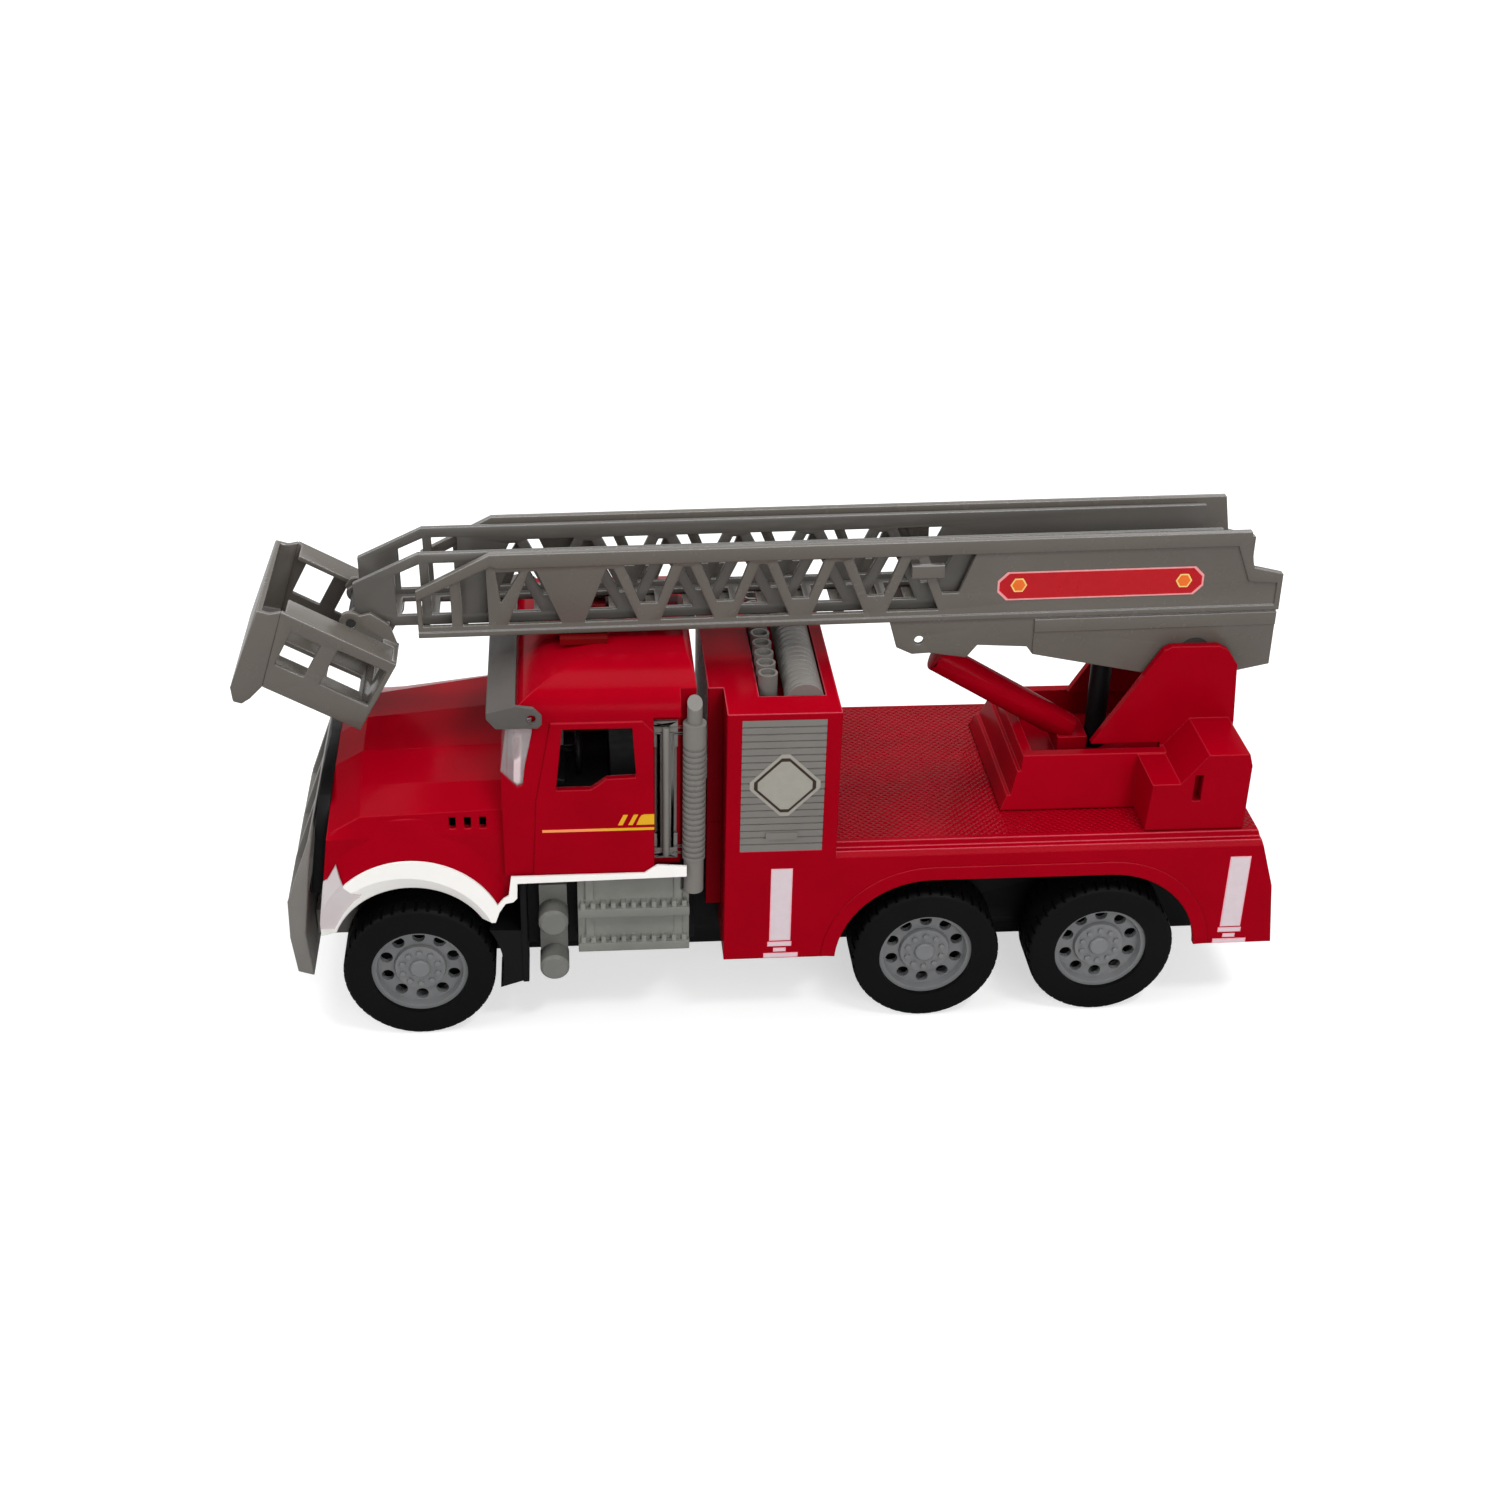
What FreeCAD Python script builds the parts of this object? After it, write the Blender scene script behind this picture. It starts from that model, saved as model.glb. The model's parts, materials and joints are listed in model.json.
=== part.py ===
import FreeCAD, Part
import math
import os
import sys
from types import SimpleNamespace

import Sketcher

# A toy fire engine with a turntable ladder, in millimetres: +X forward, +Y left, +Z up, standing on
# z = 0 with the origin under the middle of its outer box.

os.makedirs("parts", exist_ok=True)
doc = FreeCAD.newDocument("FireEngine")
sheet = doc.addObject("Spreadsheet::Sheet", "Sizes")

# Every size that can be chosen by itself: alias, value in mm or degrees, what it is. A place called
# "back" is measured behind the front axle, and one called "ahead" in front of it.
SIZES = [
    # wheels and axles
    ("front_axle", 107.34, "front axle ahead of the origin"),
    ("wheelbase", 155.7, "front axle to the first rear axle"),
    ("bogie_spacing", 55.4, "between the two rear axles"),
    ("tyre_radius", 23.0, "tyre outer radius, so also the height of the axles"),
    ("tyre_width", 17.0, "tyre width"),
    ("tyre_shoulder", 1.6, "rounding of the tyre's shoulders"),
    ("tread_depth", 0.6, "depth of the grooves between the tread blocks"),
    ("tread_groove", 1.0, "width of a tread groove"),
    ("tread_blocks", 40, "tread blocks round a tyre"),
    ("wheel_inset", 1.0, "outer face of a tyre inside the body's side"),
    ("rim_radius", 14.6, "radius where the rim meets the tyre"),
    ("rim_inset", 1.6, "rim's outer lip behind the tyre's face"),
    ("rim_lip", 1.5, "width of the rim's outer lip"),
    ("rim_dish", 2.6, "depth of the rim's disc behind its lip"),
    ("rim_disc", 2.0, "thickness of the rim's disc"),
    ("hand_holes", 10, "hand holes in a rim"),
    ("hand_hole_radius", 1.9, "radius of a hand hole"),
    ("hand_hole_circle", 10.6, "radius of the circle of hand holes"),
    ("hub_radius", 7.6, "radius of the raised hub flange"),
    ("hub_rise", 1.3, "height of the hub flange above the disc"),
    ("hub_cap_radius", 3.1, "radius of the hub cap"),
    ("hub_cap_rise", 1.2, "height of the hub cap above its flange"),
    ("wheel_bolts", 10, "bolts on a hub flange"),
    ("bolt_radius", 0.85, "radius of a wheel bolt"),
    ("bolt_rise", 0.8, "height of a wheel bolt"),
    ("bolt_circle", 5.6, "radius of the bolt circle"),
    ("axle_radius", 1.6, "radius of the steel axles"),
    ("running_gap", 0.5, "gap between an axle and its holes in the chassis"),
    # chassis
    ("chassis_half", 22.0, "half width of the chassis tray"),
    ("chassis_bottom", 15.0, "underside of the chassis tray"),
    ("chassis_top", 50.0, "top of the chassis tray, the floor of the cab"),
    ("chassis_wall", 2.0, "wall of the chassis tray"),
    ("step_box_inset", 9.8, "side of the boxes that carry the tanks inside the body's side"),
    ("step_box_bottom", 27.0, "underside of the boxes that carry the tanks"),
    ("cab_floor_inset", 3.2, "edge of the cab's floor inside the body's side"),
    ("flap_inner", 28.0, "inner edge of a mudflap from the middle plane"),
    ("flap_inset", 2.8, "outer edge of a mudflap inside the body's side"),
    ("flap_back", 31.0, "mudflap behind the front axle"),
    ("flap_bottom", 17.0, "lower edge of a mudflap"),
    # cab and hood
    ("shell_wall", 1.8, "wall of the red mouldings"),
    ("body_half", 45.8, "half width over the body and the fender trim"),
    ("trim_thickness", 0.8, "thickness of the white sill strips"),
    ("trim_depth", 2.6, "thickness of the white trim round a front wheel arch"),
    ("trim_radius", 28.0, "radius of that trim's outer edge"),
    ("trim_ahead", 1.0, "centre of that edge ahead of the front axle"),
    ("trim_height", 35.7, "height of that centre"),
    ("trim_bevel_radius", 27.7, "radius where the trim turns in towards the wheel"),
    ("trim_foot_back", 23.7, "rear foot of the trim behind the front axle"),
    ("trim_foot_height", 41.3, "lower end of that foot"),
    ("nose_ahead", 28.2, "lower front of the nose ahead of the front axle"),
    ("nose_bottom", 38.0, "lower edge of the nose"),
    ("nose_rake", 5.2, "how far the nose leans back up to the hood's front edge"),
    ("hood_front_height", 82.5, "front edge of the hood"),
    ("hood_brow", 8.5, "length of the steep front of the hood"),
    ("hood_brow_height", 87.6, "height at the back of that steep front"),
    ("hood_rear_height", 91.8, "height of the hood at the windscreen"),
    ("hood_crown_half", 23.0, "half width of the raised middle of the hood at the windscreen"),
    ("hood_crown_taper", 5.5, "how much narrower that middle is at the front, on each side"),
    ("hood_crown_drop", 1.5, "drop from the middle of the hood to the edge of its crown"),
    ("hood_shoulder_inset", 11.2, "hood's shoulder line inside the body's side at the windscreen"),
    ("hood_shoulder_taper", 5.2, "how much further inside it is at the front"),
    ("hood_shoulder_drop", 7.3, "drop from the middle of the hood to its shoulder line"),
    ("hood_ridge_drop", 13.8, "drop from the middle of the hood to the lower line on its side"),
    ("hood_ridge_inset", 1.8, "that line inside the foot of the hood's side"),
    ("hood_foot_inset", 3.5, "foot of the hood's side inside the body's side"),
    ("hood_foot_height", 71.0, "height where the hood's side becomes upright"),
    ("fender_top", 67.0, "top of the headlamps' pockets"),
    ("flare_inset", 4.8, "inner edge of a fender's flare inside the body's side"),
    ("flare_radius", 29.8, "radius of the flare at that inner edge"),
    ("flare_height", 46.1, "height of the centre of that inner edge"),
    ("arch_radius", 24.4, "radius of the front wheel arch"),
    ("arch_ahead", 1.3, "centre of the front wheel arch ahead of the front axle"),
    ("arch_height", 28.7, "height of that centre"),
    ("sill_height", 57.0, "lower edge of the doors"),
    ("cowl_back", 27.0, "foot of the windscreen behind the front axle"),
    ("cab_rear_back", 84.0, "rear wall of the cab behind the front axle"),
    ("cab_sill_inset", 1.6, "cab's side at the sill inside the body's side"),
    ("cab_belt_inset", 3.2, "cab's side at the tops of the windows inside the body's side"),
    ("cab_belt_height", 107.0, "height of the tops of the windows"),
    ("roof_shoulder_inset", 9.3, "where the roof turns down, inside the body's side"),
    ("roof_shoulder_drop", 4.4, "drop from the middle of the roof to that turn"),
    ("roof_flat_half", 24.0, "half width of the flat of the roof"),
    ("roof_height", 121.0, "top of the roof"),
    ("brow_round", 26.0, "radius of the roof's front above the windscreen"),
    ("roof_round", 95.0, "radius of the roof behind that"),
    ("rear_round", 5.0, "radius of the roof's rear edge"),
    ("roof_side_round", 50.0, "radius of the roof's fall towards its sides"),
    ("roof_edge_round", 10.6, "radius of the roof's side edges"),
    ("door_front_back", 36.5, "front edge of a door behind the front axle"),
    ("door_rear_back", 71.4, "rear edge of a door behind the front axle"),
    ("door_rise", 0.5, "how far a door stands out of the cab's side"),
    ("window_front_back", 42.8, "front of a door window behind the front axle"),
    ("window_rear_back", 66.2, "rear of a door window behind the front axle"),
    ("window_sill", 86.0, "lowest edge of a door window"),
    ("window_step", 3.6, "rise of the window's lower edge towards the rear"),
    ("window_top", 105.6, "upper edge of a door window"),
    ("handle_recess", 3.0, "depth of the step behind a door where the grab handle stands"),
    ("glass_wall", 1.2, "thickness of the clear mouldings"),
    ("glass_top", 109.4, "upper edge of the windscreen"),
    ("glass_corner_back", 36.4, "rear edge of the windscreen's side return"),
    ("glass_corner_bottom", 87.2, "lowest tip of the windscreen's side return"),
    ("seat_gap", 0.2, "gap between pieces that rest on one another"),
    ("visor_ahead", 3.4, "front edge of the sun visor ahead of the windscreen's foot"),
    ("visor_depth", 8.4, "sun visor from front to back"),
    ("visor_thickness", 1.6, "thickness of the sun visor"),
    ("visor_slope", 2.1, "rise of the sun visor from front to back"),
    ("visor_side", 0.8, "how far the sun visor stands out past the cab's side"),
    ("visor_lug_stand", 1.4, "thickness of a visor lug"),
    ("visor_lug_back", 39.4, "rear end of a visor lug behind the front axle"),
    ("visor_lug_bottom", 107.0, "lower edge of a visor lug"),
    ("visor_hole_radius", 1.3, "hole in a visor lug"),
    ("lamp_bar_front_back", 45.0, "front of the roof lamps behind the front axle"),
    ("lamp_bar_length", 14.0, "roof lamps from front to back"),
    ("lamp_bar_half", 18.0, "half width of the roof lamps"),
    ("lamp_bar_height", 0.9, "height of the roof lamps above the roof"),
    ("vent_back", 12.2, "first hood vent behind the front axle"),
    ("vent_pitch", 4.45, "spacing of the hood vents"),
    ("vent_width", 2.0, "width of a hood vent"),
    ("vent_height", 3.4, "height of a hood vent"),
    ("vent_drop", 19.4, "lower edge of the hood vents below the rear of the hood"),
    # nose pieces
    ("grille_depth", 4.0, "thickness of the grille surround"),
    ("grille_half", 34.0, "half width of the grille surround"),
    ("grille_bottom", 46.0, "lower edge of the grille surround"),
    ("grille_frame", 4.0, "width of the grille's frame"),
    ("grille_recess", 1.4, "depth of the grille's slots"),
    ("grille_slots", 9, "slots across the grille"),
    ("grille_bar", 1.8, "bar between two grille slots"),
    ("bumper_inset", 5.8, "end of the bumper inside the body's side"),
    ("bumper_ahead", 38.4, "front of the bumper ahead of the front axle"),
    ("bumper_bottom", 20.0, "lower edge of the bumper"),
    ("bumper_knee", 47.0, "height where the bumper turns back into its guard"),
    ("bumper_wall", 4.8, "thickness of the bumper"),
    ("guard_top", 69.5, "top of the guard above the bumper"),
    ("guard_rail", 3.4, "width of the guard's rails and posts"),
    ("guard_posts", 4, "posts of the guard"),
    ("headlamp_depth", 4.0, "depth of a headlamp into the fender"),
    # cab side pieces
    ("stack_back", 83.3, "exhaust stack behind the front axle"),
    ("stack_inset", 3.8, "middle of an exhaust stack inside the body's side"),
    ("stack_bottom", 49.0, "lower end of an exhaust stack"),
    ("stack_guard_bottom", 60.5, "lower end of the ribbed guard"),
    ("stack_guard_top", 99.0, "upper end of the ribbed guard"),
    ("stack_collar_top", 106.4, "top of the collar above the guard"),
    ("stack_top", 117.6, "tip of an exhaust stack"),
    ("stack_radius", 3.0, "radius of an exhaust stack"),
    ("stack_rib", 0.4, "height of the guard's ribs"),
    ("stack_ribs", 20, "ribs on a guard"),
    ("stack_tip_radius", 2.2, "radius of the stack's tip"),
    ("stack_room", 0.5, "gap between a stack and the cab"),
    ("handle_back", 75.0, "grab handle behind the front axle"),
    ("handle_plate", 7.0, "width of a grab handle's plates"),
    ("handle_plate_height", 8.6, "height of a grab handle's plates"),
    ("handle_bottom", 59.6, "lower end of a grab handle"),
    ("handle_top", 106.4, "upper end of a grab handle"),
    ("handle_headroom", 2.0, "room over a grab handle"),
    ("handle_radius", 1.0, "radius of a grab handle's rod"),
    ("handle_stand", 1.0, "gap between a handle's rod and its plates' faces"),
    ("tank_front_back", 48.3, "front of a fuel tank behind the front axle"),
    ("tank_length", 33.7, "length of a fuel tank"),
    ("tank_bottom", 29.0, "underside of a fuel tank"),
    ("tank_top", 54.0, "top of a fuel tank"),
    ("tank_inset", 3.2, "face of a fuel tank inside the body's side"),
    ("tread_inset", 0.8, "outer edge of a tank's steps inside the body's side"),
    ("tread_band", 3.0, "thickness of a tank's steps"),
    ("tread_high", 41.3, "underside of a tank's upper step"),
    ("tread_teeth", 11, "teeth along a step"),
    ("tooth_height", 1.6, "height of a step's teeth"),
    ("tooth_length", 1.5, "length of a step's teeth"),
    ("strap_width", 2.6, "width of a tank's straps"),
    ("strap_rise", 0.6, "thickness of a tank's straps"),
    ("air_tank_radius", 4.45, "radius of an air tank"),
    ("air_tank_back", 40.9, "air tanks behind the front axle"),
    ("air_tank_high", 39.6, "height of the upper air tank"),
    ("air_tank_low", 23.2, "height of the lower air tank"),
    ("air_tank_inset", 0.6, "outer end of an air tank inside the body's side"),
    ("air_tank_length", 9.0, "length of an air tank"),
    ("air_bracket", 8.4, "width of the air tanks' bracket"),
    ("air_bracket_top", 49.0, "top of the air tanks' bracket"),
    # rear body
    ("cab_gap", 4.0, "gap between the cab and the column in front of the locker"),
    ("column_length", 4.5, "length of that column"),
    ("column_half", 29.0, "half width of that column"),
    ("column_bottom", 34.8, "underside of that column"),
    ("locker_length", 33.3, "length of the locker"),
    ("locker_height", 110.6, "top of the locker"),
    ("deck_height", 64.3, "deck"),
    ("deck_inset", 3.6, "edge of the deck's flat inside the body's side"),
    ("deck_step_inset", 1.0, "edge of the ledge below the deck inside the body's side"),
    ("deck_step", 1.8, "drop from the deck to that ledge"),
    ("body_bottom", 25.0, "lower edge of the rear body"),
    ("rear_overhang", 45.4, "deck's rear edge behind the last axle"),
    ("rear_flare", 8.4, "how far the rear end spreads back down to its lower edge"),
    ("rear_arch_radius", 29.0, "radius of the rear wheel arches"),
    ("recess_front", 10.0, "front edge of the locker's top recess behind the locker's front"),
    ("recess_length", 19.6, "length of the locker's top recess"),
    ("recess_inset", 10.8, "end of the locker's top recess inside the body's side"),
    ("recess_depth", 8.0, "depth of the locker's top recess"),
    ("shutter_front", 4.3, "front edge of a shutter behind the locker's front"),
    ("shutter_length", 24.6, "length of a shutter"),
    ("shutter_top", 108.5, "upper edge of a shutter"),
    ("shutter_height", 44.5, "height of a shutter"),
    ("shutter_recess", 1.2, "depth of the pocket that holds a shutter"),
    ("shutter_slats", 19, "slats of a shutter"),
    ("slat_groove", 0.5, "depth of the grooves between the slats"),
    ("shutter_handle", 9.5, "length of a shutter's handle"),
    ("bottle_radius", 2.9, "radius of an air bottle"),
    ("bottle_pitch", 6.6, "spacing of the air bottles"),
    ("bottles", 9, "air bottles in the recess"),
    ("bottle_top", 114.0, "tops of the air bottles"),
    ("drum_radius", 5.7, "radius of the hose drum"),
    ("drum_gap", 0.4, "gap between the hose drum and the end of the recess"),
    ("drum_turns", 24, "turns of hose on the drum"),
    ("drum_groove", 0.7, "depth between two turns of hose"),
    # turntable
    ("turn_back", 59.6, "turntable's axis behind the first rear axle"),
    ("turn_gap", 0.4, "gap between the deck and the turntable"),
    ("turn_boss_radius", 14.0, "radius of the boss that carries the turntable"),
    ("turn_boss_height", 5.0, "height of that boss"),
    ("plinth_front", 36.4, "foot of the plinth ahead of the turntable's axis"),
    ("plinth_slant", 7.0, "how far the plinth's front leans back"),
    ("plinth_rear", 37.0, "rear of the plinth behind the turntable's axis"),
    ("plinth_half", 27.6, "half width of the plinth's foot"),
    ("plinth_top_half", 22.6, "half width of the plinth's top"),
    ("plinth_height", 16.5, "height of the plinth"),
    ("basin_depth", 9.0, "depth of the basin in the plinth's top"),
    ("basin_wall", 3.2, "wall round the basin"),
    ("cheek_gap", 0.4, "gap between the cheeks and the ladder's cradle"),
    ("cheek_thickness", 2.6, "thickness of the cheeks"),
    ("cheek_top", 115.3, "tops of the cheeks"),
    ("console_face", 41.4, "outer face of the control console"),
    ("console_front", 5.6, "front of the console behind the turntable's axis"),
    ("console_rear", 36.4, "rear of the console behind the turntable's axis"),
    ("console_low", 16.0, "height of the console's front part"),
    ("console_high", 25.8, "height of the console's rear part"),
    ("console_slot", 2.6, "width of the slot in the console"),
    ("strut_radius", 4.7, "radius of the lift strut's barrel"),
    ("strut_foot", 10.0, "foot of the lift strut ahead of the turntable's axis"),
    ("strut_foot_rise", 5.8, "height of the lift strut's foot above the basin's floor"),
    ("strut_angle", 31.0, "slope of the lift strut"),
    ("strut_length", 52.0, "length of the lift strut's barrel"),
    ("strut_block", 12.0, "width of the block at the strut's foot"),
    ("strut_block_length", 9.4, "length of that block"),
    ("post_radius", 3.3, "radius of the black post"),
    ("post_back", 1.6, "black post ahead of the turntable's axis"),
    ("post_top", 104.0, "top of the black post"),
    # ladder, along and square to itself, from the lift pivot
    ("pivot_back", 22.5, "lift pivot behind the turntable's axis"),
    ("pivot_height", 111.5, "height of the lift pivot"),
    ("pivot_radius", 2.4, "radius of the lift pivot's pin"),
    ("pin_cover", 0.8, "cheek left over the ends of that pin"),
    ("pin_gap", 0.05, "gap between a pivot's pin and the holes that turn on it"),
    ("droop", 0.9, "slope of the resting ladder"),
    ("ladder_half", 14.2, "half width over the outer ladder's rails"),
    ("rail_thickness", 1.6, "thickness of the ladders' rails"),
    ("ladder_bottom", 13.8, "underside of the outer ladder above the pivot"),
    ("rail_height", 25.8, "height of the outer ladder's rails"),
    ("ladder_front", 233.7, "front of the outer ladder ahead of the pivot"),
    ("ladder_tip_drop", 10.8, "drop of the rails at their front end"),
    ("ladder_tip_length", 21.8, "length of that slope"),
    ("ladder_rear", 13.4, "rear of the outer ladder behind the pivot"),
    ("ladder_heel", 24.5, "low rear end of the outer ladder behind the pivot"),
    ("heel_drop", 14.0, "drop of the rails at their rear end"),
    ("heel_lean", 1.9, "how far the rails' rear edge leans back down to that drop"),
    ("foot_flange", 1.6, "height of the flange along the foot of a rail"),
    ("head_flange", 4.4, "height of the flange along the head of a rail"),
    ("tail_border", 3.8, "width of the raised border at a rail's rear end"),
    ("heel_border", 1.6, "width of that border behind the heel"),
    ("rail_tab", 9.7, "length of the tab on a rail"),
    ("tab_front", 88.5, "front of that tab ahead of the pivot"),
    ("tab_height", 14.4, "underside of the tab above the ladder's underside"),
    ("flange_rise", 0.7, "how far a flange stands out of its rail"),
    ("truss_pitch", 22.4, "spacing of the openings in the rails"),
    ("truss_first", 207.5, "front corner of the first low opening ahead of the pivot"),
    ("truss_base", 15.7, "length of a low opening"),
    ("truss_count", 6, "low openings in a rail"),
    ("truss_low", 3.2, "lower edge of the openings above the ladder's underside"),
    ("truss_high", 5.8, "upper edge of the low openings below the ladder's top"),
    ("truss_tip", 2.2, "length of a low opening at its top"),
    ("truss_hang", 5.4, "lower edge of a high opening above that of the low ones"),
    ("truss_foot", 5.0, "length of a high opening at its foot"),
    ("truss_head", 14.3, "length of a high opening at its top"),
    ("floor_strip", 3.2, "width of the side strips of the outer ladder's floor"),
    ("fly_strip", 2.4, "width of the side strips of the inner ladder's floor"),
    ("rung_width", 3.0, "width of a rung"),
    ("rung_thickness", 1.6, "thickness of a rung"),
    ("rung_pitch", 11.2, "spacing of the rungs"),
    ("ladder_rungs", 21, "rungs of the outer ladder"),
    ("slide_gap", 0.4, "gap between the outer and the inner ladder"),
    ("fly_half", 10.06, "half width over the inner ladder's rails"),
    ("fly_front", 252.0, "front of the inner ladder ahead of the pivot"),
    ("fly_floor_end", 9.8, "front of the inner ladder's floor behind that"),
    ("fly_rear", 6.0, "rear of the inner ladder behind the pivot"),
    ("fly_height", 22.9, "height of the inner ladder's rails"),
    ("fly_rungs", 20, "rungs of the inner ladder"),
    ("fly_shift", 6.0, "inner ladder's openings ahead of the outer ladder's"),
    ("cradle_rise", 0.9, "how far the cradle's band stands out of the rails"),
    ("cradle_skin", 0.5, "how far the cradle's plates stand out of the rails"),
    ("cradle_band", 4.3, "height of the cradle's band"),
    ("bracket_front", 94.4, "front of the strut bracket ahead of the pivot"),
    ("bracket_hole_radius", 1.4, "hole in the strut bracket"),
    ("cradle_step", 44.0, "front of the cradle's deep part behind the bracket's front"),
    ("cradle_drop", 12.4, "lower edge of the cradle at that front below the ladder"),
    # basket, level, from its own pivot
    ("basket_pivot_ahead", 253.2, "basket's pivot ahead of the lift pivot, along the ladder"),
    ("basket_pivot_rise", 18.3, "basket's pivot above the lift pivot, square to the ladder"),
    ("basket_lean", 29.3, "slope of the basket's floor at rest"),
    ("basket_half", 25.0, "half width of the basket"),
    ("basket_rear", 15.5, "rear of the basket behind its pivot"),
    ("basket_front", 15.4, "front of the basket's floor ahead of its pivot"),
    ("basket_top_front", 20.4, "front of the basket's rim ahead of its pivot"),
    ("basket_depth", 24.5, "floor of the basket below its pivot"),
    ("basket_wall", 1.6, "wall of the basket"),
    ("window_foot", 8.4, "lower edge of the basket's windows above its floor"),
    ("rear_window_end", 16.8, "front edge of the basket's rear windows ahead of its rear"),
    ("front_window_length", 9.2, "length of the basket's front windows"),
    ("basket_rim", 10.0, "width of the basket's side rims"),
    ("floor_opening", 5.0, "half width of the openings in the basket's floor"),
    ("floor_rim", 2.4, "rim left in front of and behind those openings"),
    ("floor_bar", 4.6, "bar between those openings"),
    ("rim_end", 1.2, "side rims end behind the shield"),
    ("back_rim", 5.0, "width of the rear wall's rim"),
    ("shield_length", 6.3, "top of the shield ahead of the basket's rim"),
    ("shield_drop", 2.9, "top of the shield below the basket's rim"),
    ("shield_foot", 8.3, "shield's foot below the basket's floor"),
    ("lug_centre", 12.0, "basket's lugs from the middle plane"),
    ("lug_radius", 3.4, "radius of the lugs' eyes"),
    ("lug_pin_radius", 1.3, "radius of the basket's pin"),
    ("tip_ear", 3.2, "radius of the inner ladder's ears"),
    ("notch_depth", 15.0, "depth of the notch in the basket's rear wall"),
]

for row, (alias, value, note) in enumerate(SIZES, start=1):
    sheet.set("A%d" % row, note)
    sheet.set("B%d" % row, repr(value))
    sheet.setAlias("B%d" % row, alias)
doc.recompute()


class Size:
    """A number together with the expression in the sheet's aliases that gives it."""

    def __init__(self, text, value):
        self.text = text
        self.value = value

    def joined(self, sign, other, flip=False):
        left, right = (sized(other), self) if flip else (self, sized(other))
        results = {
            "+": left.value + right.value,
            "-": left.value - right.value,
            "*": left.value * right.value,
            "/": left.value / (right.value or 1.0),
        }
        return Size("(%s %s %s)" % (left.text, sign, right.text), results[sign])

    def __add__(self, other):
        return self.joined("+", other)

    def __radd__(self, other):
        return self.joined("+", other, True)

    def __sub__(self, other):
        return self.joined("-", other)

    def __rsub__(self, other):
        return self.joined("-", other, True)

    def __mul__(self, other):
        return self.joined("*", other)

    def __rmul__(self, other):
        return self.joined("*", other, True)

    def __truediv__(self, other):
        return self.joined("/", other)

    def __neg__(self):
        return self.joined("*", -1)


def sized(number):
    return number if isinstance(number, Size) else Size(repr(float(number)), float(number))


def sine(angle):
    """The sine of an angle in degrees."""
    return Size("sin(%s * 1deg)" % angle.text, math.sin(math.radians(angle.value)))


def cosine(angle):
    """The cosine of an angle in degrees."""
    return Size("cos(%s * 1deg)" % angle.text, math.cos(math.radians(angle.value)))


s = SimpleNamespace(**{alias: Size("Sizes." + alias, value) for alias, value, note in SIZES})

# Places across the truck that follow the body's side, from the middle plane.
s.wheel_face = s.body_half - s.wheel_inset
s.step_box_half = s.body_half - s.step_box_inset
s.cab_floor_half = s.body_half - s.cab_floor_inset
s.flap_outer = s.body_half - s.flap_inset
s.hood_shoulder_half = s.body_half - s.hood_shoulder_inset
s.hood_foot_half = s.body_half - s.hood_foot_inset
s.flare_half = s.body_half - s.flare_inset
s.cab_sill_half = s.body_half - s.cab_sill_inset
s.cab_belt_half = s.body_half - s.cab_belt_inset
s.roof_shoulder_half = s.body_half - s.roof_shoulder_inset
s.bumper_half = s.body_half - s.bumper_inset
s.stack_centre = s.body_half - s.stack_inset
s.tank_face = s.body_half - s.tank_inset
s.tread_face = s.body_half - s.tread_inset
s.air_tank_face = s.body_half - s.air_tank_inset
s.deck_half = s.body_half - s.deck_inset
s.deck_step_half = s.body_half - s.deck_step_inset
s.recess_half = s.body_half - s.recess_inset
s.drum_half = s.recess_half - s.drum_gap
UP, ALONG, ACROSS = FreeCAD.Vector(0, 0, 1), FreeCAD.Vector(1, 0, 0), FreeCAD.Vector(0, 1, 0)


# ---- objects bound to the sheet --------------------------------------------------------------


def bind(thing, prop, size):
    """Gives a property its value and ties it to the sheet."""
    thing.setExpression(prop, sized(size).text)


def move(thing, x=0, y=0, z=0, axis=UP, angle=0):
    """Sets a placement whose base and angle are tied to the sheet."""
    turn = sized(angle)
    at = FreeCAD.Vector(sized(x).value, sized(y).value, sized(z).value)
    thing.Placement = FreeCAD.Placement(at, FreeCAD.Rotation(axis, turn.value))
    for prop, size in (("x", x), ("y", y), ("z", z)):
        bind(thing, "Placement.Base." + prop, size)
    if isinstance(angle, Size):
        bind(thing, "Placement.Rotation.Angle", angle)
    return thing


def box(name, x, y, z):
    """A block between the two ends given for each axis."""
    block = doc.addObject("Part::Box", name)
    for prop, (low, high) in (("Length", x), ("Width", y), ("Height", z)):
        bind(block, prop, high - low)
    return move(block, x[0], y[0], z[0])


# Which way each axis of a cylinder or sketch lies: rotation axis and angle.
TURNS = {"Z": (UP, 0), "Y": (ALONG, -90), "X": (ACROSS, 90)}


def rod(name, axis, x, y, z, radius, length):
    """A cylinder along an axis that starts at the given point."""
    bar = doc.addObject("Part::Cylinder", name)
    bind(bar, "Radius", radius)
    bind(bar, "Height", length)
    turn_axis, turn = TURNS[axis]
    return move(bar, x, y, z, turn_axis, turn)


def cone(name, axis, x, y, z, radius, end_radius, length):
    horn = doc.addObject("Part::Cone", name)
    bind(horn, "Radius1", radius)
    bind(horn, "Radius2", end_radius)
    bind(horn, "Height", length)
    turn_axis, turn = TURNS[axis]
    return move(horn, x, y, z, turn_axis, turn)


def fuse(name, pieces):
    whole = doc.addObject("Part::MultiFuse", name)
    whole.Shapes = pieces
    whole.Refine = True
    return whole


def cut(name, base, tools):
    """The base with the tools taken away."""
    left = doc.addObject("Part::Cut", name)
    left.Base = base
    left.Tool = tools[0] if len(tools) == 1 else fuse(name + "_tools", tools)
    left.Refine = True
    return left


def common(name, pieces):
    shared = doc.addObject("Part::MultiCommon", name)
    shared.Shapes = pieces
    shared.Refine = True
    return shared


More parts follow.
